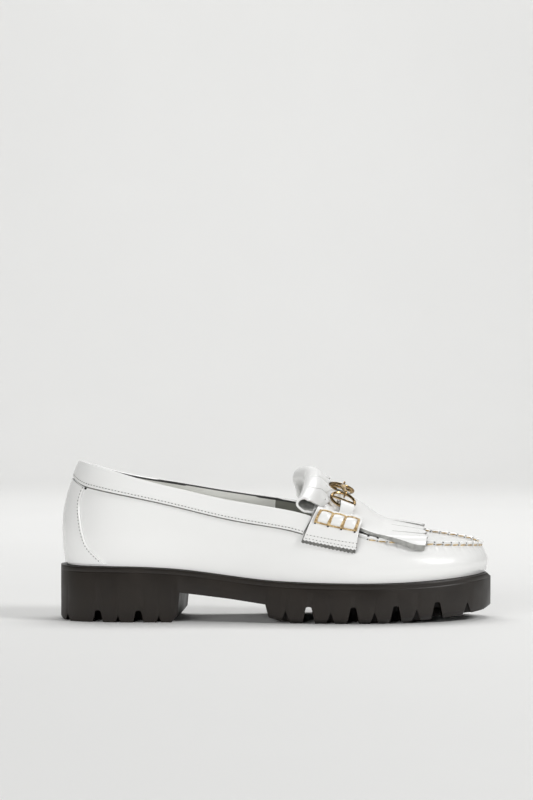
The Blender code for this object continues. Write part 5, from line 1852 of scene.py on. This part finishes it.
def make_sweep():
    """A floor that curves up into a backdrop."""
    profile = [(-SWEEP_REACH, 0.0), (SWEEP_FLAT, 0.0)]
    for angle in np.linspace(0, np.pi / 2, 17)[1:]:
        profile.append((SWEEP_FLAT + SWEEP_BEND * math.sin(angle), SWEEP_BEND * (1 - math.cos(angle))))
    profile.append((SWEEP_FLAT + SWEEP_BEND, SWEEP_TALL))
    xs = (-SWEEP_REACH, SWEEP_REACH)
    points = [(x, y, z) for y, z in profile for x in xs]
    faces = [(2 * i, 2 * i + 1, 2 * i + 3, 2 * i + 2) for i in range(len(profile) - 1)]
    mesh = bpy.data.meshes.new("sweep")
    mesh.from_pydata(points, [], faces)
    mesh.materials.append(FINISH["paper"])
    mesh.shade_smooth()
    sweep = bpy.data.objects.new("sweep", mesh)
    bpy.context.scene.collection.objects.link(sweep)


make_sweep()

Lamp = namedtuple("Lamp", "name place aim wide tall watts mirrored")
LAMPS = (
    Lamp("key", (1.5, -0.8, 1.2), (0.0, 0.0, 0.03), 0.6, 0.6, 20.0, True),
    Lamp("top", (0.1, 0.7, 2.0), (0.0, 0.1, 0.0), 1.9, 1.3, 21.0, True),
    Lamp("backdrop", (0.0, 1.3, 2.6), (0.0, 3.3, 1.0), 3.4, 0.8, 56.0, True),
    Lamp("front", (-1.0, -2.3, 0.6), (0.0, 0.0, 0.05), 1.6, 0.8, 37.0, False),
)


def point_at(thing, aim):
    from_aim = np.array(thing.location) - np.array(aim)
    flat = math.hypot(from_aim[0], from_aim[1])
    thing.rotation_euler = (
        math.atan2(flat, from_aim[2]),
        0.0,
        math.atan2(from_aim[0], -from_aim[1]),
    )


for lamp in LAMPS:
    light = bpy.data.lights.new(lamp.name, "AREA")
    light.shape = "RECTANGLE"
    light.size, light.size_y, light.energy = lamp.wide, lamp.tall, lamp.watts
    holder = bpy.data.objects.new(lamp.name, light)
    holder.location = lamp.place
    holder.visible_glossy = lamp.mirrored
    point_at(holder, lamp.aim)
    bpy.context.scene.collection.objects.link(holder)

flagged = bpy.data.collections.new("kept out of the top lamp")
for name in FLAGGED:
    flagged.objects.link(bpy.data.objects[name])
for member in flagged.collection_objects:
    member.light_linking.link_state = "EXCLUDE"
bpy.data.objects["top"].light_linking.receiver_collection = flagged

world = bpy.data.worlds.new("studio")
world.use_nodes = True
world.node_tree.nodes["Background"].inputs["Color"].default_value = ROOM_COLOUR
world.node_tree.nodes["Background"].inputs["Strength"].default_value = ROOM_LIGHT
bpy.context.scene.world = world
bpy.context.scene.view_settings.view_transform = "Standard"

# %% Camera
FOCAL_PIXELS, PICTURE_WIDE, SENSOR = 2500.0, 533.0, 36.0
CAMERA_PLACE = (-0.00595, -1.527, 0.133)
camera = bpy.data.cameras.new("camera")
camera.sensor_fit = "HORIZONTAL"
camera.sensor_width = SENSOR
camera.lens = FOCAL_PIXELS / PICTURE_WIDE * SENSOR
camera.clip_end = 50.0
holder = bpy.data.objects.new("camera", camera)
holder.location = CAMERA_PLACE
holder.rotation_euler = (math.pi / 2, 0.0, 0.0)
bpy.context.scene.collection.objects.link(holder)
bpy.context.scene.camera = holder
